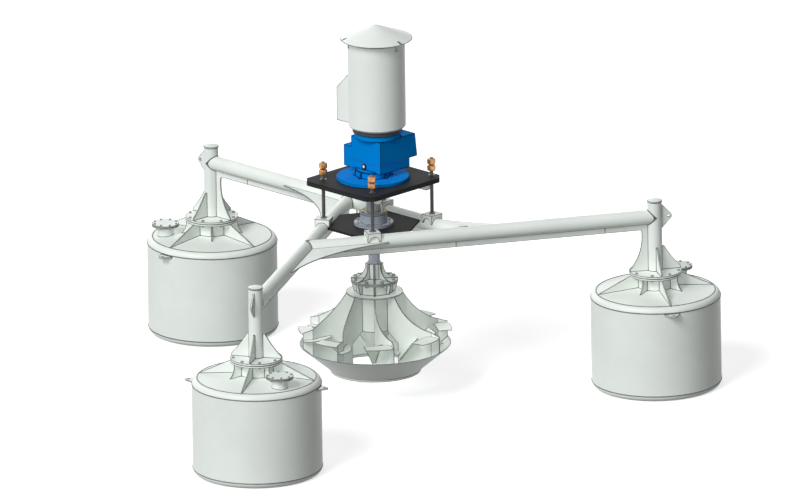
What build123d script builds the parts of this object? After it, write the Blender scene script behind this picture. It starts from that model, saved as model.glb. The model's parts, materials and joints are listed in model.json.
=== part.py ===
from build123d import *
from math import acos, cos, degrees, pi, radians, sin, sqrt, tan
import os

# Layout, millimetres, +Z up, origin on the shaft axis in the plane of the intake mouth
LEG_ANGLES = (90, 210, 330)  # heading of each arm
LEG_TURN = 120  # from one arm to the next
ARM_OFFSET = 443  # every arm passes the shaft axis at this distance
POST_X = 2565  # post and float axis, along the arm from its nearest point to the shaft
ARM_Z = 1369  # height of the arm centre lines
ARM_START = -ARM_OFFSET * tan(radians(60))  # where an arm meets its neighbour's centre line

# Clearances
WELD_GAP = 0.3  # between curved faces that are welded together
RUN_GAP = 0.05  # radial gap of a running or press fit
SLIDE_GAP = 0.3  # radial gap of a loose sliding fit

# Pipes of the frame
PIPE_R = 66.5
PIPE_WALL = 8
POST_TOP = 1515
CAP_R = 71
CAP_RIM = 12
CAP_DOME = 14

# Floats
FLOAT_R = 600
FLOAT_BOTTOM = -245
FLOAT_TOP = 696  # flat round seat of the neck
FLOAT_EDGE_Z = 658.3  # sharp corner of side and roof, before rounding
FLOAT_KNUCKLE = 54
FLOAT_WALL = 5
NECK_R = 162
NECK_WALL = 6
NECK_SEAT_R = 165
FLANGE_R = 243
FLANGE_T = 20
FLANGE_Z = 835  # joint between neck flange and post flange
FLANGE_BOLTS = 8
FLANGE_BOLT_CIRCLE = 217
FLANGE_BOLT = 16
NECK_GUSSET_R = 560
NECK_GUSSET_T = 12
NECK_BRACE_TOP_R = 238
NECK_BRACE_FOOT_R = 286
NECK_BRACE_HOLLOW = (247, 742)  # point of the hollow edge, from the float axis

# Fins and web at the foot of a post
FIN_TOP = 1084
FIN_T = 12
FIN_RIM = 20
FIN_FLAT = 20  # level edge at the top of a fin
FIN_HOLLOW = (154, 981)  # point of the hollow edge, from the post axis
WEB_T = 12
WEB_DEPTH = 53.5
WEB_CORNER = 22
WEB_NARROW = 126  # least distance of the web's edge from the post axis
WEB_SWEEP_R = 553
WEB_NARROW_Z = 1194

# Hatches on the floats
HATCH_TURN = 45
HATCH_OUT = 430
HATCH_PIPE_R = 76
HATCH_PIPE_WALL = 5
HATCH_FLANGE_R = 127
HATCH_FLANGE_T = 12
HATCH_FLANGE_Z = 772
HATCH_GASKET_T = 3
HATCH_BOLTS = 8
HATCH_BOLT_CIRCLE = 107
HATCH_BOLT = 12

# Mooring lugs on the posts and side lugs on the floats
MOOR_HALF = 113
MOOR_ROOT = 4
MOOR_EYE_X = 131
MOOR_ROUND_R = 32
MOOR_EYE_R = 12
MOOR_T = 16
SIDE_LUG_Z = 600
SIDE_LUG_HALF = 75
SIDE_LUG_ROOT = 10  # part of the outline that lies inside the float's side
SIDE_LUG_OUT = 50  # from the float's side to the eye
SIDE_LUG_ROUND_R = 33
SIDE_LUG_EYE_R = 14
SIDE_LUG_T = 14

# Knee gussets where the arms meet
KNEE_LEG = 775
KNEE_END = 12
KNEE_THROAT = 330
KNEE_T = 10

# Guide plate and guide bearing of the shaft
GUIDE_PLATE_TOP = 1403
GUIDE_PLATE_T = 22
HOUSING_FLANGE_R = 183.5
HOUSING_FLANGE_T = 25
HOUSING_R = 125.5
HOUSING_TOP = 1513
HOUSING_LIP = 12
BUSH_R = 80
GUIDE_BOLT = 16
GUIDE_BOLTS = 8
GUIDE_BOLT_CIRCLE = 156
COVER_T = 20
COVER_R = 125
COVER_BOLT_CIRCLE = 104
SLEEVE_R = 67
SLEEVE_BORE_R = 58
SLEEVE_TOP = 1740
SPIGOT_R = 92

# Jack screws
JACK_SIDE = 319  # distance of each screw from the X axis
JACK_BACK_X = -333
JACK_R = 18
JACK_BOTTOM = 1442
JACK_TOP = 2013
JACK_COLLAR_R = 30
JACK_COLLAR_T = 8
JACK_NUT_FLATS = 70
JACK_NUT_BEVEL = 10
JACK_NUT_LOW = 1886
JACK_NUT_T = 54
JACK_NUT_GAP = 8
THRUST_GAP = 0.1
SADDLE_LONG = 130
SADDLE_WIDE = 142
SADDLE_TOP = 1470
SADDLE_T = 12
SADDLE_SKIRT = 10
SADDLE_FOOT = 1387
SADDLE_ARCH_R = 46

# Drive plate
PLATE_X = 486
PLATE_Y = 450
PLATE_CORNER = 70
PLATE_BOTTOM = 1802
PLATE_T = 43
PLATE_BORE_R = 96
RIB_INSET = 44
RIB_T = 12
RIB_DEPTH = 92
RIB_OUTER = 376
RIB_INNER = 72
RIB_ROUND = 58
BUSHING_R = 32
BUSHING_FLANGE_R = 44
BUSHING_FLANGE_T = 12

# Shaft and output stage of the gearbox
SHAFT_R = 53.5
SHAFT_BOTTOM = 862
SHAFT_TOP = 1984
SHAFT_END_GAP = 10
BASE_R = 338.5
BASE_T = 30
BASE_BEVEL = 5
BASE_BOLTS = 12
BASE_BOLT = 20
BASE_BOLT_CIRCLE = 300
BASE_BOLT_DEPTH = 24  # into the foot, from below
DRUM_R = 158
DRUM_WALL = 10
DRUM_TOP = 1931
DRUM_RIBS = 8
DRUM_RIB_R = 186
PINION_POCKET_R = 50  # outside of the drum's bulge round the slow pinion
DRUM_RIB_T = 14
DRUM_RIB_HEAD = 4
BEARING_W = 25
OUT_BEARING_R = 88
SLOW_MODULE = 4
SLOW_WHEEL_TEETH = 68
SLOW_PINION_TEETH = 16
SLOW_WHEEL_Z = 1881
SLOW_WHEEL_W = 36
SLOW_PINION_OVER = 4
PRESSURE_ANGLE = 20
BACKLASH = 0.5

# Gearbox case
CASE_BACK_X = -90
CASE_LOW_FRONT_X = 286
CASE_SIDE = 192
CASE_LOBE_Y = 290
CASE_LOBE_FRONT_X = 150
CASE_LOBE_TOP = 2133
CASE_SPLIT = 2015
CASE_TOP = 2238
CASE_TOP_X = 362
CASE_FOOT_X = 387
CASE_WALL = 20
CASE_CAVITY_Z = 2046
CASE_ROOF = 2205
SEAT_R = 216
SEAT_TOP = 2290
FAST_MODULE = 2.5
FAST_WHEEL_TEETH = 66
FAST_PINION_TEETH = 18
FAST_WHEEL_Z = 2092
FAST_WHEEL_W = 30
FAST_PINION_OVER = 5  # how far the pinion stands out past its wheel, both ends
IDLER_STUB = 12
IDLER_SHAFT_R = 26
IDLER_BEARING_R = 46
PLUG_R = 24
PLUG_Y = 20
PLUG_Z = 1972
PLUG_OUT = 16
PLUG_SPIGOT_R = 18
PLUG_SPIGOT_T = 8
CASE_DISC_T = 8
TOP_BEARING_R = 76
TOP_BEARING_Z = 1951

# Motor
MOTOR_FLANGE_R = 230
MOTOR_FLANGE_T = 45
COVER_SHELL_R = 265
COVER_WALL = 4
COVER_TOP = 3160
COVER_CHAMFER = 14
COVER_SEAT_R = 212
STATOR_R = 208
STATOR_TOP = 2985
STATOR_SHIELD = 10  # metal under the top bearing
CORE_R = 120
CORE_BOTTOM = 2420
CORE_TOP = 2900
AIR_GAP = 0.8
ROTOR_SHAFT_R = 24
ROTOR_TOP = 3110
ROTOR_BEARING_R = 45
FAN_R = 195
FAN_HUB_R = 50
FAN_BOTTOM = 3030
FAN_H = 60
FAN_SHEET = 6
FAN_BLADES = 8
HAT_RIM_Z = 3182
HAT_R = 335.5
HAT_APEX = 3316
HAT_T = 4
STRAP_HEADINGS = (-90, 30, 150)
STRAP_W = 28
STRAP_T = 6
STRAP_LOW = 3108
STRAP_INSET = 12  # from the cap's rim to the strap's end
STRAP_LIFT = 0.5  # between strap and cap
HOOD_HALF = 120
HOOD_Y = 406
HOOD_LOW_TOP = 2657
HOOD_SHEET = 4

# Impeller
BLADE_COUNT = 8
BLADE_TURN = 360 / BLADE_COUNT
BLADE_T = 8
CORE_TUBE_R = 166
CORE_TUBE_WALL = 8
CORE_BORE_R = SHAFT_R + 4
HUB_TUBE_R = 66
HUB_TUBE_TOP = 1030
HUB_FIN_TOP_R = 85
HUB_JOINT = 868.5
HUB_FLANGE_R = 219
HUB_FLANGE_T = 12.5
HUB_FIN_T = 10
HUB_FIN_RIM = 6
HUB_FIN_HOLLOW = (118, 925)  # point of the hollow edge, from the shaft axis
HUB_BOLT = 20
HUB_BOLT_CIRCLE = 190
DISC_R = 263
DISC_Z = 745
DISC_T = 12
CONE_TOP = 403
CONE_TOP_R = 160
CONE_APEX = 93
CONE_WALL = 6
CORE_GUSSET_R = 218
CORE_GUSSET_FOOT_R = 188
BLADE_STRAIGHT = 250  # radius where the straight root turns into the curve
BLADE_CREASE = (575, 158)
BLADE_TIP = (668, 173)
BLADE_TIP_R = 690
BLADE_CROWN = ((364, 606), (520, 477), (596, 438))
BLADE_TIP_Z = 409
BLADE_EYE_R = 298
BLADE_EYE_Z = 308
BOWL_LIP_R = 421
BOWL_LIP_H = 20
BOWL_RIM_R = 700
BOWL_RIM_Z = 256
BOWL_WALL = 8
FIN_SHEET = 6
ROOF_Z = 395
ROOF_ROOT = (538, 117)
ROOF_BEND_R = 565  # distance at which the fin's inner edge is measured on the blade
ROOF_TIP_BOW = (706, 45)
ROOF_FRONT = ((705, -88), (654, -88), (585, -107))
ROOF_BACK_BOW = (562, 15)
LENS_Z = 340
LENS_ROOT = (399, 28)
LENS_BEND_R = 500
LENS_EDGE = ((403, 82), (448, 141), (492, 184), (574, 226), (664, 221))
SCOOP_LOW = ((314, 4, 152), (337, -28, 158))
SCOOP_HIGH = ((484, 60, 372), (572, -90, 384))


def save(piece, label):
    """Label a finished piece and write it as its own file."""
    piece.label = label
    export_step(piece, f"parts/{label}.step")


def heading_vector(heading):
    """Unit vector along a compass heading in the XY plane."""
    return Vector(cos(radians(heading)), sin(radians(heading)), 0)


def leg_point(angle, along, across, height):
    """Point given in the frame of one leg: along its arm, across it and up."""
    forward = heading_vector(angle) * along
    sideways = heading_vector(angle + 90) * (across - ARM_OFFSET)
    return forward + sideways + Vector(0, 0, height)


def level(point, heading=0):
    """Horizontal plane at a point with its x along the heading."""
    return Plane(origin=point, x_dir=heading_vector(heading), z_dir=(0, 0, 1))


def upright(point, heading):
    """Standing plane at a point with its x along the heading and its y up."""
    return Plane(origin=point, x_dir=heading_vector(heading), z_dir=heading_vector(heading - 90))


def post_foot(angle, height=0):
    """Point on the axis of a post and its float."""
    return leg_point(angle, POST_X, 0, height)


def post_axis(angle):
    """Axis of a post and its float."""
    return Axis(post_foot(angle), (0, 0, 1))


def hatch_foot(angle, height):
    """Point on the axis of a float's hatch."""
    return post_foot(angle, height) + heading_vector(angle + HATCH_TURN) * HATCH_OUT


def roof_height(radius):
    """Height of a float's conical roof at a distance from the float axis."""
    slope = (FLOAT_TOP - FLOAT_EDGE_Z) / (FLOAT_R - NECK_SEAT_R)
    return FLOAT_TOP - (radius - NECK_SEAT_R) * slope


def float_section(angle, inset):
    """Half section of a float, drawn inside its outer face by the inset."""
    with BuildSketch(upright(post_foot(angle), angle)) as section:
        with BuildLine():
            Polyline(
                (0, FLOAT_BOTTOM + inset),
                (FLOAT_R - inset, FLOAT_BOTTOM + inset),
                (FLOAT_R - inset, FLOAT_EDGE_Z - inset),
                (NECK_SEAT_R, FLOAT_TOP - inset),
                (0, FLOAT_TOP - inset),
                close=True,
            )
        make_face()
        outer = section.vertices().group_by(Axis.X)[-1]
        fillet(outer, FLOAT_KNUCKLE - inset)
    return section.sketch


def tube(plane, radius, wall, length):
    """Plain tube standing on a plane."""
    with BuildPart() as pipe:
        with BuildSketch(plane):
            Circle(radius)
            Circle(radius - wall, mode=Mode.SUBTRACT)
        extrude(amount=length)
    return pipe.part


def bolt_set(planes, circle_r, count, grip, size):
    """Hexagon bolts with nuts on a circle of each plane; the planes lie under the heads."""
    flats = 1.5 * size
    with BuildPart() as bolts:
        for plane in planes:
            with BuildSketch(plane, plane.offset(-grip - 0.8 * size)):
                with PolarLocations(circle_r, count, start_angle=180 / count):
                    RegularPolygon(flats / 2, 6, major_radius=False)
            extrude(amount=0.8 * size)
            with BuildSketch(plane.offset(-grip)):
                with PolarLocations(circle_r, count, start_angle=180 / count):
                    Circle(size / 2)
            extrude(amount=grip)
    return bolts.part


def cap_screws(plane, circle_r, count, depth, size):
    """Hexagon screws on a circle of a plane that lies under the heads."""
    with BuildPart() as screws:
        with BuildSketch(plane):
            with PolarLocations(circle_r, count, start_angle=180 / count):
                RegularPolygon(0.75 * size, 6, major_radius=False)
        extrude(amount=0.7 * size)
        with BuildSketch(plane.offset(-depth)):
            with PolarLocations(circle_r, count, start_angle=180 / count):
                Circle(size / 2)
        extrude(amount=depth)
    return screws.part


def make_float(angle, label):
    """Hollow welded drum with a round opening under its hatch."""
    with BuildPart() as drum:
        revolve(float_section(angle, 0), axis=post_axis(angle))
        revolve(float_section(angle, FLOAT_WALL), axis=post_axis(angle), mode=Mode.SUBTRACT)
        with BuildSketch(level(hatch_foot(angle, HATCH_FLANGE_Z))):
            Circle(HATCH_PIPE_R - HATCH_PIPE_WALL)
        extrude(amount=-2 * HATCH_PIPE_R, mode=Mode.SUBTRACT)
    save(drum.part, label)


def make_float_necks():
    """Neck pipe with its flange, four long gussets and four short braces, on each float."""
    neck_top = FLANGE_Z - FLANGE_T
    with BuildPart() as necks:
        for angle in LEG_ANGLES:
            with BuildSketch(level(post_foot(angle, FLOAT_TOP), angle)):
                Circle(NECK_R)
                Circle(NECK_R - NECK_WALL, mode=Mode.SUBTRACT)
            extrude(amount=neck_top - FLOAT_TOP)
            with BuildSketch(level(post_foot(angle, neck_top), angle)):
                Circle(FLANGE_R)
                Circle(NECK_R - NECK_WALL, mode=Mode.SUBTRACT)
                with PolarLocations(FLANGE_BOLT_CIRCLE, FLANGE_BOLTS, 180 / FLANGE_BOLTS):
                    Circle(FLANGE_BOLT / 2 + 1, mode=Mode.SUBTRACT)
            extrude(amount=FLANGE_T)
            for turn in range(0, 360, 90):
                with BuildSketch(upright(post_foot(angle), angle + turn)):
                    Polygon(
                        (NECK_R - 1, neck_top),
                        (FLANGE_R, neck_top),
                        (NECK_GUSSET_R, roof_height(NECK_GUSSET_R)),
                        (NECK_SEAT_R, FLOAT_TOP),
                        (NECK_R - 1, FLOAT_TOP),
                        align=None,
                    )
                extrude(amount=NECK_GUSSET_T / 2, both=True)
                with BuildSketch(upright(post_foot(angle), angle + turn + 45)):
                    with BuildLine():
                        foot = (NECK_BRACE_FOOT_R, roof_height(NECK_BRACE_FOOT_R))
                        ThreePointArc((NECK_BRACE_TOP_R, neck_top), NECK_BRACE_HOLLOW, foot)
                        Polyline(
                            foot,
                            (NECK_SEAT_R, FLOAT_TOP),
                            (NECK_R - 1, FLOAT_TOP),
                            (NECK_R - 1, neck_top),
                            (NECK_BRACE_TOP_R, neck_top),
                        )
                    make_face()
                extrude(amount=NECK_GUSSET_T / 2, both=True)
    save(necks.part, "float_necks")


def make_post(angle, label):
    """Post pipe on its flange, with three concave fins; the web takes the fourth side."""
    foot = FLANGE_Z + FLANGE_T
    fin_head = (PIPE_R + FIN_FLAT, FIN_TOP)
    with BuildPart() as post:
        with BuildSketch(level(post_foot(angle, foot), angle)):
            Circle(PIPE_R)
            Circle(PIPE_R - PIPE_WALL, mode=Mode.SUBTRACT)
        extrude(amount=POST_TOP - foot)
        with BuildSketch(level(post_foot(angle, FLANGE_Z), angle)):
            Circle(FLANGE_R)
            with PolarLocations(FLANGE_BOLT_CIRCLE, FLANGE_BOLTS, 180 / FLANGE_BOLTS):
                Circle(FLANGE_BOLT / 2 + 1, mode=Mode.SUBTRACT)
        extrude(amount=FLANGE_T)
        for turn in (-90, 0, 90):
            with BuildSketch(upright(post_foot(angle), angle + turn)):
                with BuildLine():
                    ThreePointArc((FLANGE_R, foot + FIN_RIM), FIN_HOLLOW, fin_head)
                    Polyline(
                        fin_head,
                        (PIPE_R - 1, FIN_TOP),
                        (PIPE_R - 1, foot),
                        (FLANGE_R, foot),
                        (FLANGE_R, foot + FIN_RIM),
                    )
                make_face()
            extrude(amount=FIN_T / 2, both=True)
    save(post.part, label)


def make_post_caps():
    """Domed plug that closes the top of each post."""
    with BuildPart() as caps:
        for angle in LEG_ANGLES:
            with BuildSketch(upright(post_foot(angle, POST_TOP), angle)):
                with BuildLine():
                    Polyline((0, CAP_RIM + CAP_DOME), (0, 0), (CAP_R, 0), (CAP_R, CAP_RIM))
                    TangentArc((0, CAP_RIM + CAP_DOME), (CAP_R, CAP_RIM), tangent=(1, 0))
                make_face()
            revolve(axis=post_axis(angle))
    save(caps.part, "post_caps")


def make_arm(angle, label):
    """Arm pipe, cut to fit the side of its neighbour and the side of its post."""
    with BuildPart() as arm:
        with BuildSketch(Plane(origin=leg_point(angle, ARM_START, 0, ARM_Z),
                               x_dir=(0, 0, 1), z_dir=heading_vector(angle))):
            Circle(PIPE_R)
            Circle(PIPE_R - PIPE_WALL, mode=Mode.SUBTRACT)
        extrude(amount=POST_X - ARM_START)
        with BuildSketch(level(post_foot(angle, ARM_Z))):
            Circle(PIPE_R + WELD_GAP)
        extrude(amount=2 * PIPE_R, both=True, mode=Mode.SUBTRACT)
        neighbour = heading_vector(angle - LEG_TURN)
        with BuildSketch(Plane(origin=leg_point(angle, ARM_START, 0, ARM_Z),
                               x_dir=(0, 0, 1), z_dir=neighbour)):
            Circle(PIPE_R + WELD_GAP)
        extrude(amount=4 * PIPE_R, both=True, mode=Mode.SUBTRACT)
    save(arm.part, label)


def make_arm_webs():
    """Plate under each arm that sweeps down the inner side of the post to its flange."""
    foot = FLANGE_Z + FLANGE_T
    top = ARM_Z - PIPE_R
    low = top - WEB_DEPTH
    turn_z = low - WEB_CORNER
    narrow_x = POST_X - WEB_NARROW

    def sweep_x(height):
        """Edge of the swept part of the web at a height."""
        rise = height - WEB_NARROW_Z
        return narrow_x - WEB_SWEEP_R + sqrt(WEB_SWEEP_R**2 - rise**2)

    with BuildPart() as webs:
        for angle in LEG_ANGLES:
            with BuildSketch(upright(leg_point(angle, 0, 0, 0), angle)):
                with BuildLine():
                    corner_x = sweep_x(turn_z)
                    Line((ARM_START, low), (corner_x - WEB_CORNER, low))
                    TangentArc((corner_x - WEB_CORNER, low), (corner_x, turn_z), tangent=(1, 0))
                    mid_z = (turn_z + foot + FIN_RIM) / 2
                    rim_x = POST_X - FLANGE_R
                    ThreePointArc(
                        (corner_x, turn_z), (sweep_x(mid_z), mid_z), (rim_x, foot + FIN_RIM)
                    )
                    Polyline(
                        (rim_x, foot + FIN_RIM),
                        (rim_x, foot),
                        (POST_X - PIPE_R, foot),
                        (POST_X - PIPE_R, top),
                        (ARM_START, top),
                        (ARM_START, low),
                    )
                make_face()
            extrude(amount=WEB_T / 2, both=True)
            with BuildSketch(level(leg_point(angle, ARM_START, 0, low), angle - LEG_TURN)):
                Rectangle(4 * PIPE_R, WEB_T)
            extrude(amount=WEB_DEPTH, mode=Mode.SUBTRACT)
    save(webs.part, "arm_webs")


def make_knee_gussets():
    """Horizontal plate with a hollow edge in each wide corner of the arms."""
    inner = PIPE_R / sin(radians(60))

    def leg_side(along, out, side):
        """Point of a gusset beside one of its two arms."""
        x = along * cos(radians(60)) + out * cos(radians(30))
        y = along * sin(radians(60)) - out * sin(radians(30))
        return (x, side * y)

    with BuildPart() as gussets:
        for angle in LEG_ANGLES:
            corner = leg_point(angle, ARM_START, 0, ARM_Z)
            with BuildSketch(level(corner, angle - LEG_TURN / 2)):
                with BuildLine():
                    Polyline(
                        leg_side(KNEE_LEG, PIPE_R + KNEE_END, 1),
                        leg_side(KNEE_LEG, PIPE_R, 1),
                        (inner, 0),
                        leg_side(KNEE_LEG, PIPE_R, -1),
                        leg_side(KNEE_LEG, PIPE_R + KNEE_END, -1),
                    )
                    ThreePointArc(
                        leg_side(KNEE_LEG, PIPE_R + KNEE_END, -1),
                        (KNEE_THROAT, 0),
                        leg_side(KNEE_LEG, PIPE_R + KNEE_END, 1),
                    )
                make_face()
            extrude(amount=KNEE_T / 2, both=True)
    save(gussets.part, "knee_gussets")


def make_mooring_lugs():
    """Upright eye plate on the outer side of each post."""
    with BuildPart() as lugs:
        for angle in LEG_ANGLES:
            with BuildSketch(upright(post_foot(angle, ARM_Z), angle)) as outline:
                with Locations((MOOR_EYE_X, 0)):
                    Circle(MOOR_ROUND_R)
                with Locations((PIPE_R + MOOR_ROOT / 2, 0)):
                    Rectangle(MOOR_ROOT, 2 * MOOR_HALF)
                make_hull()
                with Locations((MOOR_EYE_X, 0)):
                    Circle(MOOR_EYE_R, mode=Mode.SUBTRACT)
            extrude(amount=MOOR_T / 2, both=True)
    save(lugs.part, "mooring_lugs")


def make_float_lugs():
    """Level eye plates, one on each side of a float."""
    with BuildPart() as lugs:
        for angle in LEG_ANGLES:
            for turn in (-90, 90):
                with BuildSketch(level(post_foot(angle, SIDE_LUG_Z), angle + turn)):
                    with Locations((FLOAT_R + SIDE_LUG_OUT, 0)):
                        Circle(SIDE_LUG_ROUND_R)
                    with Locations((FLOAT_R - SIDE_LUG_ROOT / 2, 0)):
                        Rectangle(SIDE_LUG_ROOT, 2 * SIDE_LUG_HALF)
                    make_hull()
                    with Locations((FLOAT_R + SIDE_LUG_OUT, 0)):
                        Circle(SIDE_LUG_EYE_R, mode=Mode.SUBTRACT)
                    Circle(FLOAT_R + WELD_GAP, mode=Mode.SUBTRACT)
                extrude(amount=-SIDE_LUG_T)
    save(lugs.part, "float_lugs")


def make_hatch_necks():
    """Short pipe with a flange on each float, cut to the slope of the roof."""
    with BuildPart() as necks:
        for angle in LEG_ANGLES:
            with BuildSketch(level(hatch_foot(angle, HATCH_FLANGE_Z), angle)):
                Circle(HATCH_FLANGE_R)
                with PolarLocations(HATCH_BOLT_CIRCLE, HATCH_BOLTS, 180 / HATCH_BOLTS):
                    Circle(HATCH_BOLT / 2 + 1, mode=Mode.SUBTRACT)
            extrude(amount=-HATCH_FLANGE_T)
            with BuildSketch(level(hatch_foot(angle, HATCH_FLANGE_Z), angle)):
                Circle(HATCH_PIPE_R)
            extrude(amount=-2 * HATCH_PIPE_R)
            with BuildSketch(level(hatch_foot(angle, HATCH_FLANGE_Z), angle)):
                Circle(HATCH_PIPE_R - HATCH_PIPE_WALL)
            extrude(amount=-2 * HATCH_PIPE_R, mode=Mode.SUBTRACT)
            revolve(float_section(angle, -WELD_GAP), axis=post_axis(angle), mode=Mode.SUBTRACT)
    save(necks.part, "hatch_necks")


def make_hatch_discs(label, bottom, thickness, bore):
    """Round gasket or cover on each hatch, drilled for the hatch bolts."""
    with BuildPart() as discs:
        for angle in LEG_ANGLES:
            with BuildSketch(level(hatch_foot(angle, bottom), angle)):
                Circle(HATCH_FLANGE_R)
                with PolarLocations(HATCH_BOLT_CIRCLE, HATCH_BOLTS, 180 / HATCH_BOLTS):
                    Circle(HATCH_BOLT / 2 + 1, mode=Mode.SUBTRACT)
                if bore:
                    Circle(bore, mode=Mode.SUBTRACT)
            extrude(amount=thickness)
    save(discs.part, label)


def make_frame_bolts():
    """Bolts of the three post flanges and of the three hatches."""
    post_planes = [level(post_foot(a, FLANGE_Z + FLANGE_T), a) for a in LEG_ANGLES]
    save(
        bolt_set(post_planes, FLANGE_BOLT_CIRCLE, FLANGE_BOLTS, 2 * FLANGE_T, FLANGE_BOLT),
        "post_bolts",
    )
    hatch_top = HATCH_FLANGE_Z + HATCH_GASKET_T + HATCH_FLANGE_T
    hatch_grip = 2 * HATCH_FLANGE_T + HATCH_GASKET_T
    hatch_planes = [level(hatch_foot(a, hatch_top), a) for a in LEG_ANGLES]
    save(
        bolt_set(hatch_planes, HATCH_BOLT_CIRCLE, HATCH_BOLTS, hatch_grip, HATCH_BOLT),
        "hatch_bolts",
    )


def jack_places():
    """Leg and distance along its arm for each of the four jack screws."""
    back = (JACK_BACK_X + ARM_OFFSET * sin(radians(30))) / cos(radians(210))
    return ((90, JACK_SIDE), (210, back), (330, -back), (90, -JACK_SIDE))


def guide_plate_reach():
    """Distance from the shaft axis to the plate's edges, which touch the arms."""
    drop = GUIDE_PLATE_TOP - GUIDE_PLATE_T - ARM_Z
    return ARM_OFFSET - sqrt(PIPE_R**2 - drop**2)


def make_jack_saddles():
    """Boxed saddle on the arms under each jack screw, trimmed to stand on the guide plate."""
    with BuildPart() as saddles:
        for angle, along in jack_places():
            top = level(leg_point(angle, along, 0, SADDLE_TOP), angle)
            with BuildSketch(top):
                Rectangle(SADDLE_LONG, SADDLE_WIDE)
            extrude(amount=SADDLE_FOOT - SADDLE_TOP)
            with BuildSketch(top.offset(-SADDLE_T)):
                Rectangle(SADDLE_LONG - 2 * SADDLE_SKIRT, SADDLE_WIDE - 2 * SADDLE_SKIRT)
            extrude(amount=SADDLE_FOOT - SADDLE_TOP, mode=Mode.SUBTRACT)
            with BuildSketch(top):
                Circle(JACK_R + SLIDE_GAP)
            extrude(amount=-SADDLE_T, mode=Mode.SUBTRACT)
            arm_end = leg_point(angle, along, 0, ARM_Z)
            with BuildSketch(Plane(origin=arm_end, x_dir=(0, 0, 1), z_dir=heading_vector(angle))):
                Circle(PIPE_R + WELD_GAP)
            extrude(amount=SADDLE_LONG, both=True, mode=Mode.SUBTRACT)
            side_foot = leg_point(angle, along, 0, SADDLE_FOOT)
            with BuildSketch(upright(side_foot, angle)):
                Circle(SADDLE_ARCH_R)
            extrude(amount=SADDLE_WIDE, both=True, mode=Mode.SUBTRACT)
        with BuildSketch(Plane.XY.offset(GUIDE_PLATE_TOP)):
            RegularPolygon(guide_plate_reach(), 6, major_radius=False, rotation=30)
        extrude(amount=-GUIDE_PLATE_T, mode=Mode.SUBTRACT)
    save(saddles.part, "jack_saddles")


def make_guide_plate():
    """Six-sided plate between the arms that carries the guide bearing."""
    with BuildPart() as plate:
        with BuildSketch(Plane.XY.offset(GUIDE_PLATE_TOP)):
            RegularPolygon(guide_plate_reach(), 6, major_radius=False, rotation=30)
            Circle(SPIGOT_R + SLIDE_GAP, mode=Mode.SUBTRACT)
            with PolarLocations(GUIDE_BOLT_CIRCLE, GUIDE_BOLTS, 180 / GUIDE_BOLTS):
                Circle(GUIDE_BOLT / 2 + 1, mode=Mode.SUBTRACT)
        extrude(amount=-GUIDE_PLATE_T)
    save(plate.part, "guide_plate")


def make_guide_bearing():
    """Housing, bush and cover with its fixed sleeve, all round the shaft."""
    flange_top = GUIDE_PLATE_TOP + HOUSING_FLANGE_T
    low = GUIDE_PLATE_TOP - GUIDE_PLATE_T
    with BuildPart() as housing:
        with BuildSketch(Plane.XZ):
            with BuildLine():
                Polyline(
                    (SLEEVE_BORE_R, low),
                    (SPIGOT_R, low),
                    (SPIGOT_R, GUIDE_PLATE_TOP),
                    (HOUSING_FLANGE_R, GUIDE_PLATE_TOP),
                    (HOUSING_FLANGE_R, flange_top),
                    (HOUSING_R, flange_top),
                    (HOUSING_R, HOUSING_TOP),
                    (BUSH_R + RUN_GAP, HOUSING_TOP),
                    (BUSH_R + RUN_GAP, low + HOUSING_LIP),
                    (SLEEVE_BORE_R, low + HOUSING_LIP),
                    close=True,
                )
            make_face()
        revolve(axis=Axis.Z)
        with BuildSketch(Plane.XY.offset(flange_top)):
            with PolarLocations(GUIDE_BOLT_CIRCLE, GUIDE_BOLTS, 180 / GUIDE_BOLTS):
                Circle(GUIDE_BOLT / 2 + 1)
        extrude(amount=-HOUSING_FLANGE_T, mode=Mode.SUBTRACT)
    save(housing.part, "guide_housing")
    bush_base = Plane.XY.offset(low + HOUSING_LIP)
    bush_wall = BUSH_R - SHAFT_R - RUN_GAP
    save(tube(bush_base, BUSH_R, bush_wall, HOUSING_TOP - low - HOUSING_LIP), "guide_bush")
    with BuildPart() as cover:
        with BuildSketch(Plane.XY.offset(HOUSING_TOP)):
            Circle(COVER_R)
            Circle(SLEEVE_BORE_R, mode=Mode.SUBTRACT)
        extrude(amount=COVER_T)
        with BuildSketch(Plane.XY.offset(HOUSING_TOP)):
            Circle(SLEEVE_R)
            Circle(SLEEVE_BORE_R, mode=Mode.SUBTRACT)
        extrude(amount=SLEEVE_TOP - HOUSING_TOP)
        with BuildSketch(Plane.XY.offset(HOUSING_TOP)):
            with PolarLocations(COVER_BOLT_CIRCLE, GUIDE_BOLTS, 180 / GUIDE_BOLTS):
                Circle(GUIDE_BOLT / 2 + 1)
        extrude(amount=COVER_T, mode=Mode.SUBTRACT)
    save(cover.part, "guide_cover")
    cover_top = Plane.XY.offset(HOUSING_TOP + COVER_T)
    save(cap_screws(cover_top, COVER_BOLT_CIRCLE, GUIDE_BOLTS, COVER_T, GUIDE_BOLT), "cover_bolts")
    grip = HOUSING_FLANGE_T + GUIDE_PLATE_T
    planes = [Plane.XY.offset(flange_top)]
    save(bolt_set(planes, GUIDE_BOLT_CIRCLE, GUIDE_BOLTS, grip, GUIDE_BOLT), "housing_bolts")


def jack_plane(place, height):
    """Level plane on the axis of a jack screw."""
    angle, along = place
    return level(leg_point(angle, along, 0, height))


def jack_nut(place, height):
    """Hexagon nut of a jack screw, bevelled round both ends."""
    with BuildPart() as nut:
        with BuildSketch(jack_plane(place, height)):
            Circle(JACK_NUT_FLATS / sqrt(3))
        extrude(amount=JACK_NUT_T)
        chamfer(nut.edges().filter_by(GeomType.CIRCLE), JACK_NUT_BEVEL)
        with BuildSketch(jack_plane(place, height)):
            RegularPolygon(JACK_NUT_FLATS / 2, 6, major_radius=False)
        extrude(amount=JACK_NUT_T, mode=Mode.INTERSECT)
    return nut.part


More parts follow.
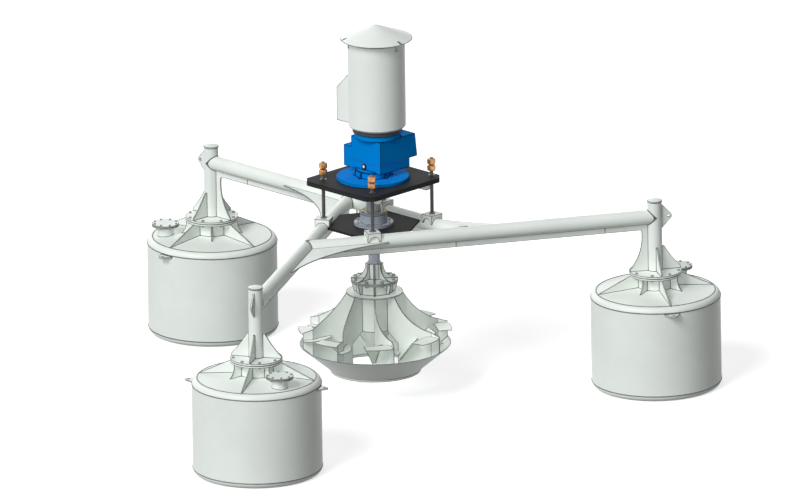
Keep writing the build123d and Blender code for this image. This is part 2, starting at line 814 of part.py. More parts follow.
def make_jack_screw(place, label):
    """Screw rod with its thrust collar and two locked nuts that turn it."""
    with BuildPart() as screw:
        with BuildSketch(jack_plane(place, JACK_BOTTOM)):
            Circle(JACK_R)
        extrude(amount=JACK_TOP - JACK_BOTTOM)
        with BuildSketch(jack_plane(place, SADDLE_TOP + THRUST_GAP)):
            Circle(JACK_COLLAR_R)
        extrude(amount=JACK_COLLAR_T)
        with BuildSketch(jack_plane(place, SADDLE_TOP - SADDLE_T - THRUST_GAP)):
            Circle(JACK_COLLAR_R)
        extrude(amount=-JACK_COLLAR_T)
        add(jack_nut(place, JACK_NUT_LOW))
        add(jack_nut(place, JACK_NUT_LOW + JACK_NUT_T + JACK_NUT_GAP))
    save(screw.part, label)


def make_drive_plate():
    """Plate that carries the drive, with round corners cut straight and holes for the screws."""
    with BuildPart() as plate:
        with BuildSketch(Plane.XY.offset(PLATE_BOTTOM)) as outline:
            Rectangle(2 * PLATE_X, 2 * PLATE_Y)
            chamfer(outline.vertices(), PLATE_CORNER)
            Circle(PLATE_BORE_R, mode=Mode.SUBTRACT)
            with PolarLocations(BASE_BOLT_CIRCLE, BASE_BOLTS, 180 / BASE_BOLTS):
                Circle(BASE_BOLT / 2 + 1, mode=Mode.SUBTRACT)
        extrude(amount=PLATE_T)
        for place in jack_places():
            with BuildSketch(jack_plane(place, PLATE_BOTTOM)):
                Circle(BUSHING_R + WELD_GAP)
            extrude(amount=PLATE_T, mode=Mode.SUBTRACT)
    save(plate.part, "drive_plate")


def make_lift_bushes():
    """Threaded bush in the plate at each jack screw."""
    with BuildPart() as bushes:
        for place in jack_places():
            with BuildSketch(jack_plane(place, PLATE_BOTTOM)):
                Circle(BUSHING_R)
            extrude(amount=PLATE_T)
            with BuildSketch(jack_plane(place, PLATE_BOTTOM)):
                Circle(BUSHING_FLANGE_R)
            extrude(amount=-BUSHING_FLANGE_T)
            with BuildSketch(jack_plane(place, PLATE_BOTTOM - BUSHING_FLANGE_T)):
                Circle(JACK_R + SLIDE_GAP)
            extrude(amount=PLATE_T + BUSHING_FLANGE_T, mode=Mode.SUBTRACT)
    save(bushes.part, "lift_bushes")


def make_plate_ribs():
    """Round-ended ribs under the plate, beside the rows of screws."""
    low = PLATE_BOTTOM - RIB_DEPTH
    mid = RIB_ROUND * (1 - cos(radians(45)))
    with BuildPart() as ribs:
        for rib_x in (JACK_BACK_X + RIB_INSET + BUSHING_R, ARM_OFFSET - RIB_INSET - BUSHING_R):
            for heading in (-90, 90):
                with BuildSketch(upright((rib_x, 0, 0), heading)):
                    with BuildLine():
                        Line((RIB_INNER, PLATE_BOTTOM), (RIB_OUTER, PLATE_BOTTOM))
                        ThreePointArc(
                            (RIB_OUTER, PLATE_BOTTOM),
                            (RIB_OUTER - mid, low + mid),
                            (RIB_OUTER - RIB_ROUND, low),
                        )
                        Line((RIB_OUTER - RIB_ROUND, low), (RIB_INNER + RIB_ROUND, low))
                        ThreePointArc(
                            (RIB_INNER + RIB_ROUND, low),
                            (RIB_INNER + mid, low + mid),
                            (RIB_INNER, PLATE_BOTTOM),
                        )
                    make_face()
                extrude(amount=RIB_T / 2, both=True)
    save(ribs.part, "plate_ribs")


def drum_plan(plane, inset):
    """Plan of the gearbox drum: a circle and the bulge round the slow pinion, less an inset."""
    with BuildSketch(plane) as plan:
        Circle(DRUM_R - inset)
        with Locations((idler_x(), 0)):
            Circle(PINION_POCKET_R - inset)
    return plan.sketch


def make_gearbox_base():
    """Round foot of the gearbox with the output drum and its ribs."""
    bottom = PLATE_BOTTOM + PLATE_T
    floor = bottom + BASE_T
    with BuildPart() as base:
        with BuildSketch(Plane.XY.offset(bottom)):
            Circle(BASE_R)
            Circle(OUT_BEARING_R + RUN_GAP, mode=Mode.SUBTRACT)
        extrude(amount=BASE_T)
        chamfer(base.edges().group_by(Axis.Z)[-1].sort_by(SortBy.LENGTH)[-1], BASE_BEVEL)
        with BuildSketch(Plane.XY.offset(bottom)):
            with PolarLocations(BASE_BOLT_CIRCLE, BASE_BOLTS, 180 / BASE_BOLTS):
                Circle(BASE_BOLT / 2 + WELD_GAP)
        extrude(amount=BASE_BOLT_DEPTH, mode=Mode.SUBTRACT)
        extrude(drum_plan(Plane.XY.offset(floor), 0), amount=DRUM_TOP - floor)
        for index in range(DRUM_RIBS):
            with BuildSketch(upright((0, 0, 0), index * 360 / DRUM_RIBS)):
                Polygon(
                    (DRUM_R - 1, floor),
                    (DRUM_RIB_R, floor),
                    (DRUM_R + DRUM_RIB_HEAD, DRUM_TOP),
                    (DRUM_R - 1, DRUM_TOP),
                    align=None,
                )
            extrude(amount=DRUM_RIB_T / 2, both=True)
        extrude(
            drum_plan(Plane.XY.offset(floor), DRUM_WALL),
            amount=DRUM_TOP - floor,
            mode=Mode.SUBTRACT,
        )
    save(base.part, "gearbox_base")


def idler_x():
    """Distance of the idler shaft from the output shaft."""
    return SLOW_MODULE * (SLOW_WHEEL_TEETH + SLOW_PINION_TEETH) / 2


def motor_x():
    """Distance of the motor axis from the output shaft."""
    return idler_x() - FAST_MODULE * (FAST_WHEEL_TEETH + FAST_PINION_TEETH) / 2


def plug_face():
    """Plane of the case's back face at the oil plug."""
    return Plane(origin=(CASE_BACK_X, PLUG_Y, PLUG_Z), x_dir=(0, 1, 0), z_dir=(-1, 0, 0))


def make_gearbox_case():
    """Cast case with the lower block, the side lobe, the tapered upper block and motor seat."""
    with BuildPart() as case:
        with BuildSketch(Plane.XY.offset(DRUM_TOP)):
            low_long = CASE_LOW_FRONT_X - CASE_BACK_X
            low_wide = CASE_LOBE_Y + CASE_SIDE
            with Locations((CASE_BACK_X + low_long / 2, CASE_LOBE_Y - low_wide / 2)):
                Rectangle(low_long, low_wide)
        extrude(amount=CASE_SPLIT - DRUM_TOP)
        with BuildSketch(Plane.XY.offset(DRUM_TOP)):
            Circle(DRUM_R)
        extrude(amount=CASE_DISC_T)
        with BuildSketch(Plane.XY.offset(DRUM_TOP)):
            Circle(DRUM_R - DRUM_WALL - SLIDE_GAP)
        extrude(amount=-CASE_DISC_T)
        with BuildSketch(Plane.XY.offset(CASE_SPLIT)):
            lobe_long = CASE_LOBE_FRONT_X - CASE_BACK_X
            with Locations((CASE_BACK_X + lobe_long / 2, CASE_LOBE_Y / 2)):
                Rectangle(lobe_long, CASE_LOBE_Y)
        extrude(amount=CASE_LOBE_TOP - CASE_SPLIT)
        for height, front in ((CASE_SPLIT, CASE_FOOT_X), (CASE_TOP, CASE_TOP_X)):
            with BuildSketch(Plane.XY.offset(height)):
                with Locations(((CASE_BACK_X + front) / 2, 0)):
                    Rectangle(front - CASE_BACK_X, 2 * CASE_SIDE)
        loft()
        with BuildSketch(Plane.XY.offset(CASE_TOP)):
            with Locations((motor_x(), 0)):
                Circle(SEAT_R)
        extrude(amount=SEAT_TOP - CASE_TOP)
        cavity_long = CASE_TOP_X - CASE_BACK_X - 2 * CASE_WALL
        with BuildSketch(Plane.XY.offset(CASE_CAVITY_Z)):
            with Locations(((CASE_BACK_X + CASE_TOP_X) / 2, 0)):
                Rectangle(cavity_long, 2 * (CASE_SIDE - CASE_WALL))
        extrude(amount=CASE_ROOF - CASE_CAVITY_Z, mode=Mode.SUBTRACT)
        with BuildSketch(Plane.XY.offset(CASE_ROOF)):
            with Locations((motor_x(), 0)):
                Circle(ROTOR_BEARING_R)
        extrude(amount=SEAT_TOP - CASE_ROOF, mode=Mode.SUBTRACT)
        disc_bottom = DRUM_TOP - CASE_DISC_T
        with BuildSketch(Plane.XY.offset(disc_bottom)):
            Circle(TOP_BEARING_R + RUN_GAP)
        extrude(amount=SHAFT_TOP + SHAFT_END_GAP - disc_bottom, mode=Mode.SUBTRACT)
        with BuildSketch(Plane.XY.offset(disc_bottom)):
            with Locations((idler_x(), 0)):
                Circle(IDLER_BEARING_R + RUN_GAP)
        extrude(amount=CASE_CAVITY_Z - disc_bottom, mode=Mode.SUBTRACT)
        with BuildSketch(plug_face()):
            Circle(PLUG_SPIGOT_R)
        extrude(amount=-PLUG_SPIGOT_T, mode=Mode.SUBTRACT)
    save(case.part, "gearbox_case")


def make_case_fittings():
    """Oil plug on the back face and the bolts of the foot."""
    with BuildPart() as plug:
        with BuildSketch(plug_face()):
            Circle(PLUG_R)
        extrude(amount=PLUG_OUT)
        with BuildSketch(plug_face()):
            Circle(PLUG_SPIGOT_R - SLIDE_GAP)
        extrude(amount=-PLUG_SPIGOT_T)
    save(plug.part, "oil_plug")
    under_plate = Plane(origin=(0, 0, PLATE_BOTTOM), z_dir=(0, 0, -1))
    reach = PLATE_T + BASE_BOLT_DEPTH - SLIDE_GAP
    save(cap_screws(under_plate, BASE_BOLT_CIRCLE, BASE_BOLTS, reach, BASE_BOLT), "base_bolts")


def make_bearings():
    """Rings of the output, idler and motor bearings."""
    low = PLATE_BOTTOM + PLATE_T
    with BuildPart() as output_rings:
        for height, radius in ((low, OUT_BEARING_R), (TOP_BEARING_Z, TOP_BEARING_R)):
            with BuildSketch(Plane.XY.offset(height)):
                Circle(radius)
                Circle(SHAFT_R + RUN_GAP, mode=Mode.SUBTRACT)
            extrude(amount=BEARING_W)
    save(output_rings.part, "output_bearings")
    with BuildPart() as idler_rings:
        planes = [Plane((idler_x(), 0, z)) for z in (DRUM_TOP + 4, CASE_CAVITY_Z - BEARING_W)]
        with BuildSketch(*planes):
            Circle(IDLER_BEARING_R)
            Circle(IDLER_SHAFT_R + RUN_GAP, mode=Mode.SUBTRACT)
        extrude(amount=BEARING_W)
    save(idler_rings.part, "idler_bearings")
    with BuildPart() as motor_rings:
        heights = (SEAT_TOP + MOTOR_FLANGE_T - BEARING_W, STATOR_TOP - BEARING_W)
        planes = [Plane((motor_x(), 0, z)) for z in heights]
        with BuildSketch(*planes):
            Circle(ROTOR_BEARING_R)
            Circle(ROTOR_SHAFT_R + RUN_GAP, mode=Mode.SUBTRACT)
        extrude(amount=BEARING_W)
    save(motor_rings.part, "motor_bearings")


def tooth_angle(teeth, module, radius):
    """Half the angle that an involute tooth takes at a radius."""
    pitch_r = module * teeth / 2
    pressure = radians(PRESSURE_ANGLE)
    base_r = pitch_r * cos(pressure)
    local = acos(min(1, base_r / max(radius, base_r)))
    half_pitch = pi / (2 * teeth) - BACKLASH * module / 10 / pitch_r
    return half_pitch + (tan(pressure) - pressure) - (tan(local) - local)


def gear_sketch(plane, teeth, module, turn):
    """Outline of a gear, its first tooth turned away from the plane's x."""
    root_r = module * (teeth / 2 - 1.25)
    tip_r = module * (teeth / 2 + 1)
    flank_r = (root_r + tip_r) / 2
    points = []
    for index in range(teeth):
        centre = radians(turn) + index * 2 * pi / teeth
        for radius, side in (
            (root_r, -1), (flank_r, -1), (tip_r, -1), (tip_r, 1), (flank_r, 1), (root_r, 1),
        ):
            angle = centre + side * tooth_angle(teeth, module, radius)
            points.append((radius * cos(angle), radius * sin(angle)))
    with BuildSketch(plane) as outline:
        with BuildLine():
            Polyline(*points, close=True)
        make_face()
    return outline.sketch


def make_output_train():
    """Output shaft, its wheel and the idler with both of its gears."""
    with BuildPart() as shaft:
        with BuildSketch(Plane.XY.offset(SHAFT_BOTTOM)):
            Circle(SHAFT_R)
        extrude(amount=SHAFT_TOP - SHAFT_BOTTOM)
    save(shaft.part, "output_shaft")
    with BuildPart() as wheel:
        extrude(
            gear_sketch(Plane.XY.offset(SLOW_WHEEL_Z), SLOW_WHEEL_TEETH, SLOW_MODULE, 0),
            amount=SLOW_WHEEL_W,
        )
        with BuildSketch(Plane.XY.offset(SLOW_WHEEL_Z)):
            Circle(SHAFT_R + RUN_GAP)
        extrude(amount=SLOW_WHEEL_W, mode=Mode.SUBTRACT)
    save(wheel.part, "output_wheel")
    pinion_low = SLOW_WHEEL_Z - SLOW_PINION_OVER
    with BuildPart() as idler:
        foot = Plane((idler_x(), 0, pinion_low))
        extrude(
            gear_sketch(foot, SLOW_PINION_TEETH, SLOW_MODULE, 180 / SLOW_PINION_TEETH),
            amount=SLOW_WHEEL_W + 2 * SLOW_PINION_OVER,
        )
        head = Plane((idler_x(), 0, FAST_WHEEL_Z))
        extrude(gear_sketch(head, FAST_WHEEL_TEETH, FAST_MODULE, 0), amount=FAST_WHEEL_W)
        with BuildSketch(foot):
            Circle(IDLER_SHAFT_R)
        extrude(amount=FAST_WHEEL_Z + FAST_WHEEL_W + IDLER_STUB - pinion_low)
    save(idler.part, "idler_gears")


def make_motor():
    """Motor flange, stator with its upper shield, rotor with pinion, and fan."""
    centre = motor_x()
    flange_top = SEAT_TOP + MOTOR_FLANGE_T
    with BuildPart() as flange:
        with BuildSketch(Plane((centre, 0, SEAT_TOP))):
            Circle(MOTOR_FLANGE_R)
            Circle(ROTOR_BEARING_R + RUN_GAP, mode=Mode.SUBTRACT)
        extrude(amount=MOTOR_FLANGE_T)
    save(flange.part, "motor_flange")
    with BuildPart() as stator:
        with BuildSketch(Plane((centre, 0, flange_top))):
            Circle(STATOR_R)
        extrude(amount=STATOR_TOP - flange_top)
        with BuildSketch(Plane((centre, 0, flange_top))):
            Circle(CORE_R + AIR_GAP)
        extrude(amount=STATOR_TOP - BEARING_W - STATOR_SHIELD - flange_top, mode=Mode.SUBTRACT)
        with BuildSketch(Plane((centre, 0, STATOR_TOP))):
            Circle(ROTOR_BEARING_R + RUN_GAP)
        extrude(amount=-BEARING_W - 2 * STATOR_SHIELD, mode=Mode.SUBTRACT)
    save(stator.part, "motor_stator")
    pinion = Plane((centre, 0, FAST_WHEEL_Z - FAST_PINION_OVER))
    pinion_w = FAST_WHEEL_W + 2 * FAST_PINION_OVER
    with BuildPart() as rotor:
        extrude(
            gear_sketch(pinion, FAST_PINION_TEETH, FAST_MODULE, 180 / FAST_PINION_TEETH),
            amount=pinion_w,
        )
        with BuildSketch(pinion.offset(pinion_w)):
            Circle(ROTOR_SHAFT_R)
        extrude(amount=ROTOR_TOP - FAST_WHEEL_Z + FAST_PINION_OVER - pinion_w)
        with BuildSketch(Plane((centre, 0, CORE_BOTTOM))):
            Circle(CORE_R)
        extrude(amount=CORE_TOP - CORE_BOTTOM)
    save(rotor.part, "motor_rotor")
    with BuildPart() as fan:
        with BuildSketch(Plane((centre, 0, FAN_BOTTOM))):
            Circle(FAN_R)
        extrude(amount=FAN_SHEET)
        with BuildSketch(Plane((centre, 0, FAN_BOTTOM))):
            Circle(FAN_HUB_R)
            with PolarLocations((FAN_R + FAN_HUB_R - FAN_SHEET) / 2, FAN_BLADES):
                Rectangle(FAN_R - FAN_HUB_R, FAN_SHEET)
        extrude(amount=FAN_H)
        with BuildSketch(Plane((centre, 0, FAN_BOTTOM))):
            Circle(ROTOR_SHAFT_R + RUN_GAP)
        extrude(amount=FAN_H, mode=Mode.SUBTRACT)
    save(fan.part, "cooling_fan")


def make_motor_cover():
    """Tall round shell over the motor, open under the rain cap."""
    centre = motor_x()
    bottom = SEAT_TOP + MOTOR_FLANGE_T
    inner = COVER_SHELL_R - COVER_WALL
    with BuildPart() as shell:
        with BuildSketch(Plane.XZ):
            with BuildLine():
                Polyline(
                    (centre + COVER_SEAT_R, bottom),
                    (centre + COVER_SHELL_R - COVER_CHAMFER, bottom),
                    (centre + COVER_SHELL_R, bottom + COVER_CHAMFER),
                    (centre + COVER_SHELL_R, COVER_TOP),
                    (centre + inner, COVER_TOP),
                    (centre + inner, bottom + COVER_CHAMFER + 2),
                    (centre + inner - COVER_CHAMFER + 2, bottom + COVER_WALL),
                    (centre + COVER_SEAT_R, bottom + COVER_WALL),
                    close=True,
                )
            make_face()
        revolve(axis=Axis((centre, 0, 0), (0, 0, 1)))
    save(shell.part, "motor_cover")
    with BuildPart() as hat:
        with BuildSketch(Plane.XZ):
            with BuildLine():
                Polyline(
                    (centre, HAT_APEX - HAT_T),
                    (centre, HAT_APEX),
                    (centre + HAT_R, HAT_RIM_Z + HAT_T),
                    (centre + HAT_R, HAT_RIM_Z),
                    close=True,
                )
            make_face()
        revolve(axis=Axis((centre, 0, 0), (0, 0, 1)))
    save(hat.part, "rain_cap")
    make_cap_straps()
    make_terminal_hood()


def make_cap_straps():
    """Bent straps that hold the rain cap clear of the shell."""
    centre = motor_x()
    slope = (HAT_APEX - HAT_RIM_Z - HAT_T) / HAT_R
    foot_r = COVER_SHELL_R + WELD_GAP
    reach = HAT_R - STRAP_INSET

    def under_hat(radius):
        """Height of the cap's lower face at a distance from the motor axis."""
        return HAT_RIM_Z + (HAT_R - radius) * slope

    with BuildPart() as straps:
        for heading in STRAP_HEADINGS:
            with BuildSketch(upright((centre, 0, 0), heading)):
                Polygon(
                    (foot_r, STRAP_LOW),
                    (foot_r + STRAP_T, STRAP_LOW),
                    (foot_r + STRAP_T, under_hat(foot_r + STRAP_T) - STRAP_T),
                    (reach, under_hat(reach) - STRAP_T),
                    (reach, under_hat(reach) - STRAP_LIFT),
                    (foot_r, under_hat(foot_r) - STRAP_LIFT),
                    align=None,
                )
            extrude(amount=STRAP_W / 2, both=True)
    save(straps.part, "cap_straps")


def make_terminal_hood():
    """Sheet hood with a sloping roof on the side of the motor shell, open at the bottom."""
    centre = motor_x()
    low = SEAT_TOP + MOTOR_FLANGE_T
    high = HOOD_LOW_TOP + HOOD_Y - COVER_SHELL_R
    with BuildPart() as hood:
        for inset, mode in ((0, Mode.ADD), (HOOD_SHEET, Mode.SUBTRACT)):
            with BuildSketch(upright((centre, 0, 0), 90)):
                Polygon(
                    (0, low + inset),
                    (HOOD_Y - inset, low + inset),
                    (HOOD_Y - inset, HOOD_LOW_TOP - inset),
                    (COVER_SHELL_R, high - 2 * inset),
                    (0, high - 2 * inset),
                    align=None,
                )
            extrude(amount=HOOD_HALF - inset, both=True, mode=mode)
        with BuildSketch(Plane((centre, 0, low))):
            Circle(COVER_SHELL_R + WELD_GAP)
        extrude(amount=high - low, mode=Mode.SUBTRACT)
    save(hood.part, "terminal_hood")


def bowl_inside(radius, gap=0):
    """Height of the bowl's inner face, raised by a gap, at a distance from the shaft axis."""
    slope = (BOWL_RIM_Z - BOWL_LIP_H) / (BOWL_RIM_R - BOWL_LIP_R)
    rise = BOWL_WALL * sqrt(1 + slope**2)
    return BOWL_LIP_H + (radius - BOWL_LIP_R) * slope + rise + gap


def bowl_rim_inner():
    """Radius of the bowl's inner face at the rim."""
    slope = (BOWL_RIM_Z - BOWL_LIP_H) / (BOWL_RIM_R - BOWL_LIP_R)
    return BOWL_RIM_R - BOWL_WALL * sqrt(1 + slope**2) / slope


def make_impeller_hub():
    """Hub on the shaft: tube, fins and the upper flange."""
    low = HUB_JOINT
    flange_top = low + HUB_FLANGE_T
    fin_foot = (HUB_FLANGE_R, flange_top + HUB_FIN_RIM)
    with BuildPart() as hub:
        with BuildSketch(Plane.XY.offset(low)):
            Circle(HUB_FLANGE_R)
            with PolarLocations(HUB_BOLT_CIRCLE, BLADE_COUNT, BLADE_TURN / 2):
                Circle(HUB_BOLT / 2 + 1, mode=Mode.SUBTRACT)
        extrude(amount=HUB_FLANGE_T)
        with BuildSketch(Plane.XY.offset(low)):
            Circle(HUB_TUBE_R)
        extrude(amount=HUB_TUBE_TOP - low)
        for index in range(BLADE_COUNT):
            with BuildSketch(upright((0, 0, 0), index * BLADE_TURN)):
                with BuildLine():
                    ThreePointArc(fin_foot, HUB_FIN_HOLLOW, (HUB_FIN_TOP_R, HUB_TUBE_TOP))
                    Polyline(
                        (HUB_FIN_TOP_R, HUB_TUBE_TOP),
                        (HUB_TUBE_R - 1, HUB_TUBE_TOP),
                        (HUB_TUBE_R - 1, flange_top),
                        (HUB_FLANGE_R, flange_top),
                        fin_foot,
                    )
                make_face()
            extrude(amount=HUB_FIN_T / 2, both=True)
        with BuildSketch(Plane.XY.offset(low)):
            Circle(SHAFT_R + RUN_GAP)
        extrude(amount=HUB_TUBE_TOP - low, mode=Mode.SUBTRACT)
    save(hub.part, "impeller_hub")


def make_impeller_core():
    """Core tube with its flange, disc and pointed flow cone, in one turned weldment."""
    flange_low = HUB_JOINT - HUB_FLANGE_T
    inner = CORE_TUBE_R - CORE_TUBE_WALL
    cone_rise = CONE_WALL * 2
    with BuildPart() as core:
        with BuildSketch(Plane.XZ):
            with BuildLine():
                Polyline(
                    (0, CONE_APEX),
                    (CONE_TOP_R, CONE_TOP),
                    (CORE_TUBE_R, CONE_TOP),
                    (CORE_TUBE_R, DISC_Z),
                    (DISC_R, DISC_Z),
                    (DISC_R, DISC_Z + DISC_T),
                    (CORE_TUBE_R, DISC_Z + DISC_T),
                    (CORE_TUBE_R, flange_low),
                    (HUB_FLANGE_R, flange_low),
                    (HUB_FLANGE_R, HUB_JOINT),
                    (CORE_BORE_R, HUB_JOINT),
                    (CORE_BORE_R, flange_low),
                    (inner, flange_low),
                    (inner, CONE_TOP + CONE_WALL),
                    (CONE_TOP_R - CONE_WALL, CONE_TOP + CONE_WALL),
                    (0, CONE_APEX + cone_rise),
                    close=True,
                )
            make_face()
        revolve(axis=Axis.Z)
        for index in range(BLADE_COUNT):
            with BuildSketch(upright((0, 0, 0), index * BLADE_TURN)):
                Polygon(
                    (CORE_TUBE_R - 1, flange_low),
                    (CORE_GUSSET_R, flange_low),
                    (CORE_GUSSET_FOOT_R, DISC_Z + DISC_T),
                    (CORE_TUBE_R - 1, DISC_Z + DISC_T),
                    align=None,
                )
            extrude(amount=HUB_FIN_T / 2, both=True)
        with BuildSketch(Plane.XY.offset(HUB_JOINT)):
            with PolarLocations(HUB_BOLT_CIRCLE, BLADE_COUNT, BLADE_TURN / 2):
                Circle(HUB_BOLT / 2 + 1)
        extrude(amount=-HUB_FLANGE_T, mode=Mode.SUBTRACT)
    save(core.part, "impeller_core")
    planes = [Plane.XY.offset(HUB_JOINT + HUB_FLANGE_T)]
    save(
        bolt_set(planes, HUB_BOLT_CIRCLE, BLADE_COUNT, 2 * HUB_FLANGE_T, HUB_BOLT),
        "hub_bolts",
    )


def blade_strip(plane, width, start):
    """Plan of one blade: a straight root, a curve and a straight tip past the crease."""
    with BuildSketch(plane) as strip:
        with BuildLine():
            Line((start, 0), (BLADE_STRAIGHT, 0))
            TangentArc((BLADE_STRAIGHT, 0), BLADE_CREASE, tangent=(1, 0))
            Line(BLADE_CREASE, BLADE_TIP)
        trace(line_width=width)
    return strip.sketch


def blade_arc_point(radius):
    """Point of the blade's curved centre line at a distance from the shaft axis."""
    rise = BLADE_CREASE[1]
    run = BLADE_CREASE[0] - BLADE_STRAIGHT
    bend_r = (run**2 + rise**2) / (2 * rise)
    reach = sqrt(BLADE_STRAIGHT**2 + bend_r**2)
    base = degrees(acos((reach**2 + bend_r**2 - radius**2) / (2 * reach * bend_r)))
    start = degrees(acos(bend_r / reach))
    turn = radians(base - start)
    return (BLADE_STRAIGHT + bend_r * sin(turn), bend_r * (1 - cos(turn)))


def repeat_round(piece, label):
    """Copy one blade's piece to every blade and save the group."""
    with BuildPart() as group:
        with PolarLocations(0, BLADE_COUNT):
            add(piece)
    save(group.part, label)


def make_blades():
    """Curved upright blades from the core tube to the bowl."""
    inner = CORE_TUBE_R + WELD_GAP
    rim_inner = bowl_rim_inner() - 2 * WELD_GAP
    lip_inner = BOWL_LIP_R - BOWL_WALL - WELD_GAP
    foot = bowl_inside(lip_inner, WELD_GAP)
    eye_slope = CORE_TUBE_R / (BLADE_EYE_R - CORE_TUBE_R)
    with BuildPart() as blade:
        extrude(blade_strip(Plane.XY, BLADE_T, inner), amount=DISC_Z)
        with BuildSketch(Plane.XZ):
            with BuildLine():
                Spline((DISC_R, DISC_Z), *BLADE_CROWN, (BLADE_TIP_R, BLADE_TIP_Z))
                Polyline(
                    (BLADE_TIP_R, BLADE_TIP_Z),
                    (BLADE_TIP_R, BOWL_RIM_Z + WELD_GAP),
                    (rim_inner, BOWL_RIM_Z + WELD_GAP),
                    (lip_inner, foot),
                    (BLADE_EYE_R, foot),
                    (BLADE_EYE_R, BLADE_EYE_Z),
                    (0, CONE_TOP + (CONE_TOP - BLADE_EYE_Z) * eye_slope),
                    (0, DISC_Z),
                    (DISC_R, DISC_Z),
                )
            make_face()
        revolve(axis=Axis.Z, mode=Mode.INTERSECT)
    repeat_round(blade.part, "impeller_blades")


def make_blade_fins():
    """Level fins on both sides of each blade and the sloping scoop under the outer one."""
    strip_w = BLADE_T + 2 * WELD_GAP
    with BuildPart() as roof:
        with BuildSketch(Plane.XY.offset(ROOF_Z)):
            with BuildLine():
                ThreePointArc(ROOF_ROOT, blade_arc_point(ROOF_BEND_R), BLADE_CREASE)
                Line(BLADE_CREASE, BLADE_TIP)
                ThreePointArc(BLADE_TIP, ROOF_TIP_BOW, ROOF_FRONT[0])
                Polyline(*ROOF_FRONT)
                ThreePointArc(ROOF_FRONT[-1], ROOF_BACK_BOW, ROOF_ROOT)
            make_face()
        extrude(amount=-FIN_SHEET)
        extrude(
            blade_strip(Plane.XY.offset(ROOF_Z), strip_w, CORE_TUBE_R),
            amount=-FIN_SHEET,
            mode=Mode.SUBTRACT,
        )
    repeat_round(roof.part.solids().sort_by(SortBy.VOLUME)[-1], "roof_fins")
    with BuildPart() as lens:
        with BuildSketch(Plane.XY.offset(LENS_Z)):
            with BuildLine():
                ThreePointArc(LENS_ROOT, blade_arc_point(LENS_BEND_R), BLADE_CREASE)
                Polyline(BLADE_CREASE, BLADE_TIP, LENS_EDGE[-1])
                Spline(*LENS_EDGE)
                Line(LENS_EDGE[0], LENS_ROOT)
            make_face()
        extrude(amount=-FIN_SHEET)
        extrude(
            blade_strip(Plane.XY.offset(LENS_Z), strip_w, CORE_TUBE_R),
            amount=-FIN_SHEET,
            mode=Mode.SUBTRACT,
        )
    repeat_round(lens.part.solids().sort_by(SortBy.VOLUME)[-1], "lens_fins")
    make_scoops(strip_w)


def make_scoops(strip_w):
    """Sloping sheet that rises outward from the bowl to the roof fin."""
    climb = Vector(*SCOOP_HIGH[0]) - Vector(*SCOOP_LOW[0])
    with BuildPart() as scoop:
        for near, far in (SCOOP_LOW, SCOOP_HIGH):
            middle = (Vector(*near) + Vector(*far)) / 2
            width = (Vector(*far) - Vector(*near)).length
            with BuildSketch(Plane(origin=middle, x_dir=Vector(*far) - Vector(*near),
                                   z_dir=climb)):
                Rectangle(width, FIN_SHEET)
        loft()
        extrude(
            blade_strip(Plane.XY, strip_w, CORE_TUBE_R), amount=DISC_Z, mode=Mode.SUBTRACT
        )
    repeat_round(scoop.part.solids().sort_by(SortBy.VOLUME)[-1], "scoop_walls")


def make_bowl():
    """Sheet bowl under the blades with a plain lip round the intake mouth."""
    lip_inner = BOWL_LIP_R - BOWL_WALL
    with BuildPart() as bowl:
        with BuildSketch(Plane.XZ):
            with BuildLine():
                Polyline(
                    (BOWL_LIP_R, 0),
                    (BOWL_LIP_R, BOWL_LIP_H),
                    (BOWL_RIM_R, BOWL_RIM_Z),
                    (bowl_rim_inner(), BOWL_RIM_Z),
                    (lip_inner, bowl_inside(lip_inner)),
                    (lip_inner, 0),
                    close=True,
                )
            make_face()
        revolve(axis=Axis.Z)
    save(bowl.part, "impeller_bowl")


def main():
    """Make every piece and write each one to parts."""
    os.makedirs("parts", exist_ok=True)
    for number, angle in enumerate(LEG_ANGLES, start=1):
        make_float(angle, f"float_{number}")
        make_post(angle, f"post_{number}")
        make_arm(angle, f"arm_{number}")
    make_float_necks()
    make_post_caps()
    make_arm_webs()
    make_knee_gussets()
    make_mooring_lugs()
    make_float_lugs()
    make_hatch_necks()
    gasket_bore = HATCH_PIPE_R - HATCH_PIPE_WALL
    make_hatch_discs("hatch_gaskets", HATCH_FLANGE_Z, HATCH_GASKET_T, gasket_bore)
    make_hatch_discs("hatch_covers", HATCH_FLANGE_Z + HATCH_GASKET_T, HATCH_FLANGE_T, 0)
    make_frame_bolts()
    make_jack_saddles()
    make_guide_plate()
    make_guide_bearing()
    for number, place in enumerate(jack_places(), start=1):
        make_jack_screw(place, f"jack_screw_{number}")
    make_drive_plate()
    make_lift_bushes()
    make_plate_ribs()
    make_gearbox_base()
    make_gearbox_case()
    make_case_fittings()
    make_bearings()
    make_output_train()
    make_motor()
    make_motor_cover()
    make_impeller_hub()
    make_impeller_core()
    make_blades()
    make_blade_fins()
    make_bowl()


main()
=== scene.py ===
"""Dresses a packed surface aerator: its finishes, threads, weld beads, small trim and studio."""

import json
import logging
import math
from dataclasses import dataclass
from enum import Enum
from typing import Any, Callable, Iterable, Sequence

import bpy
from mathutils import Matrix, Vector


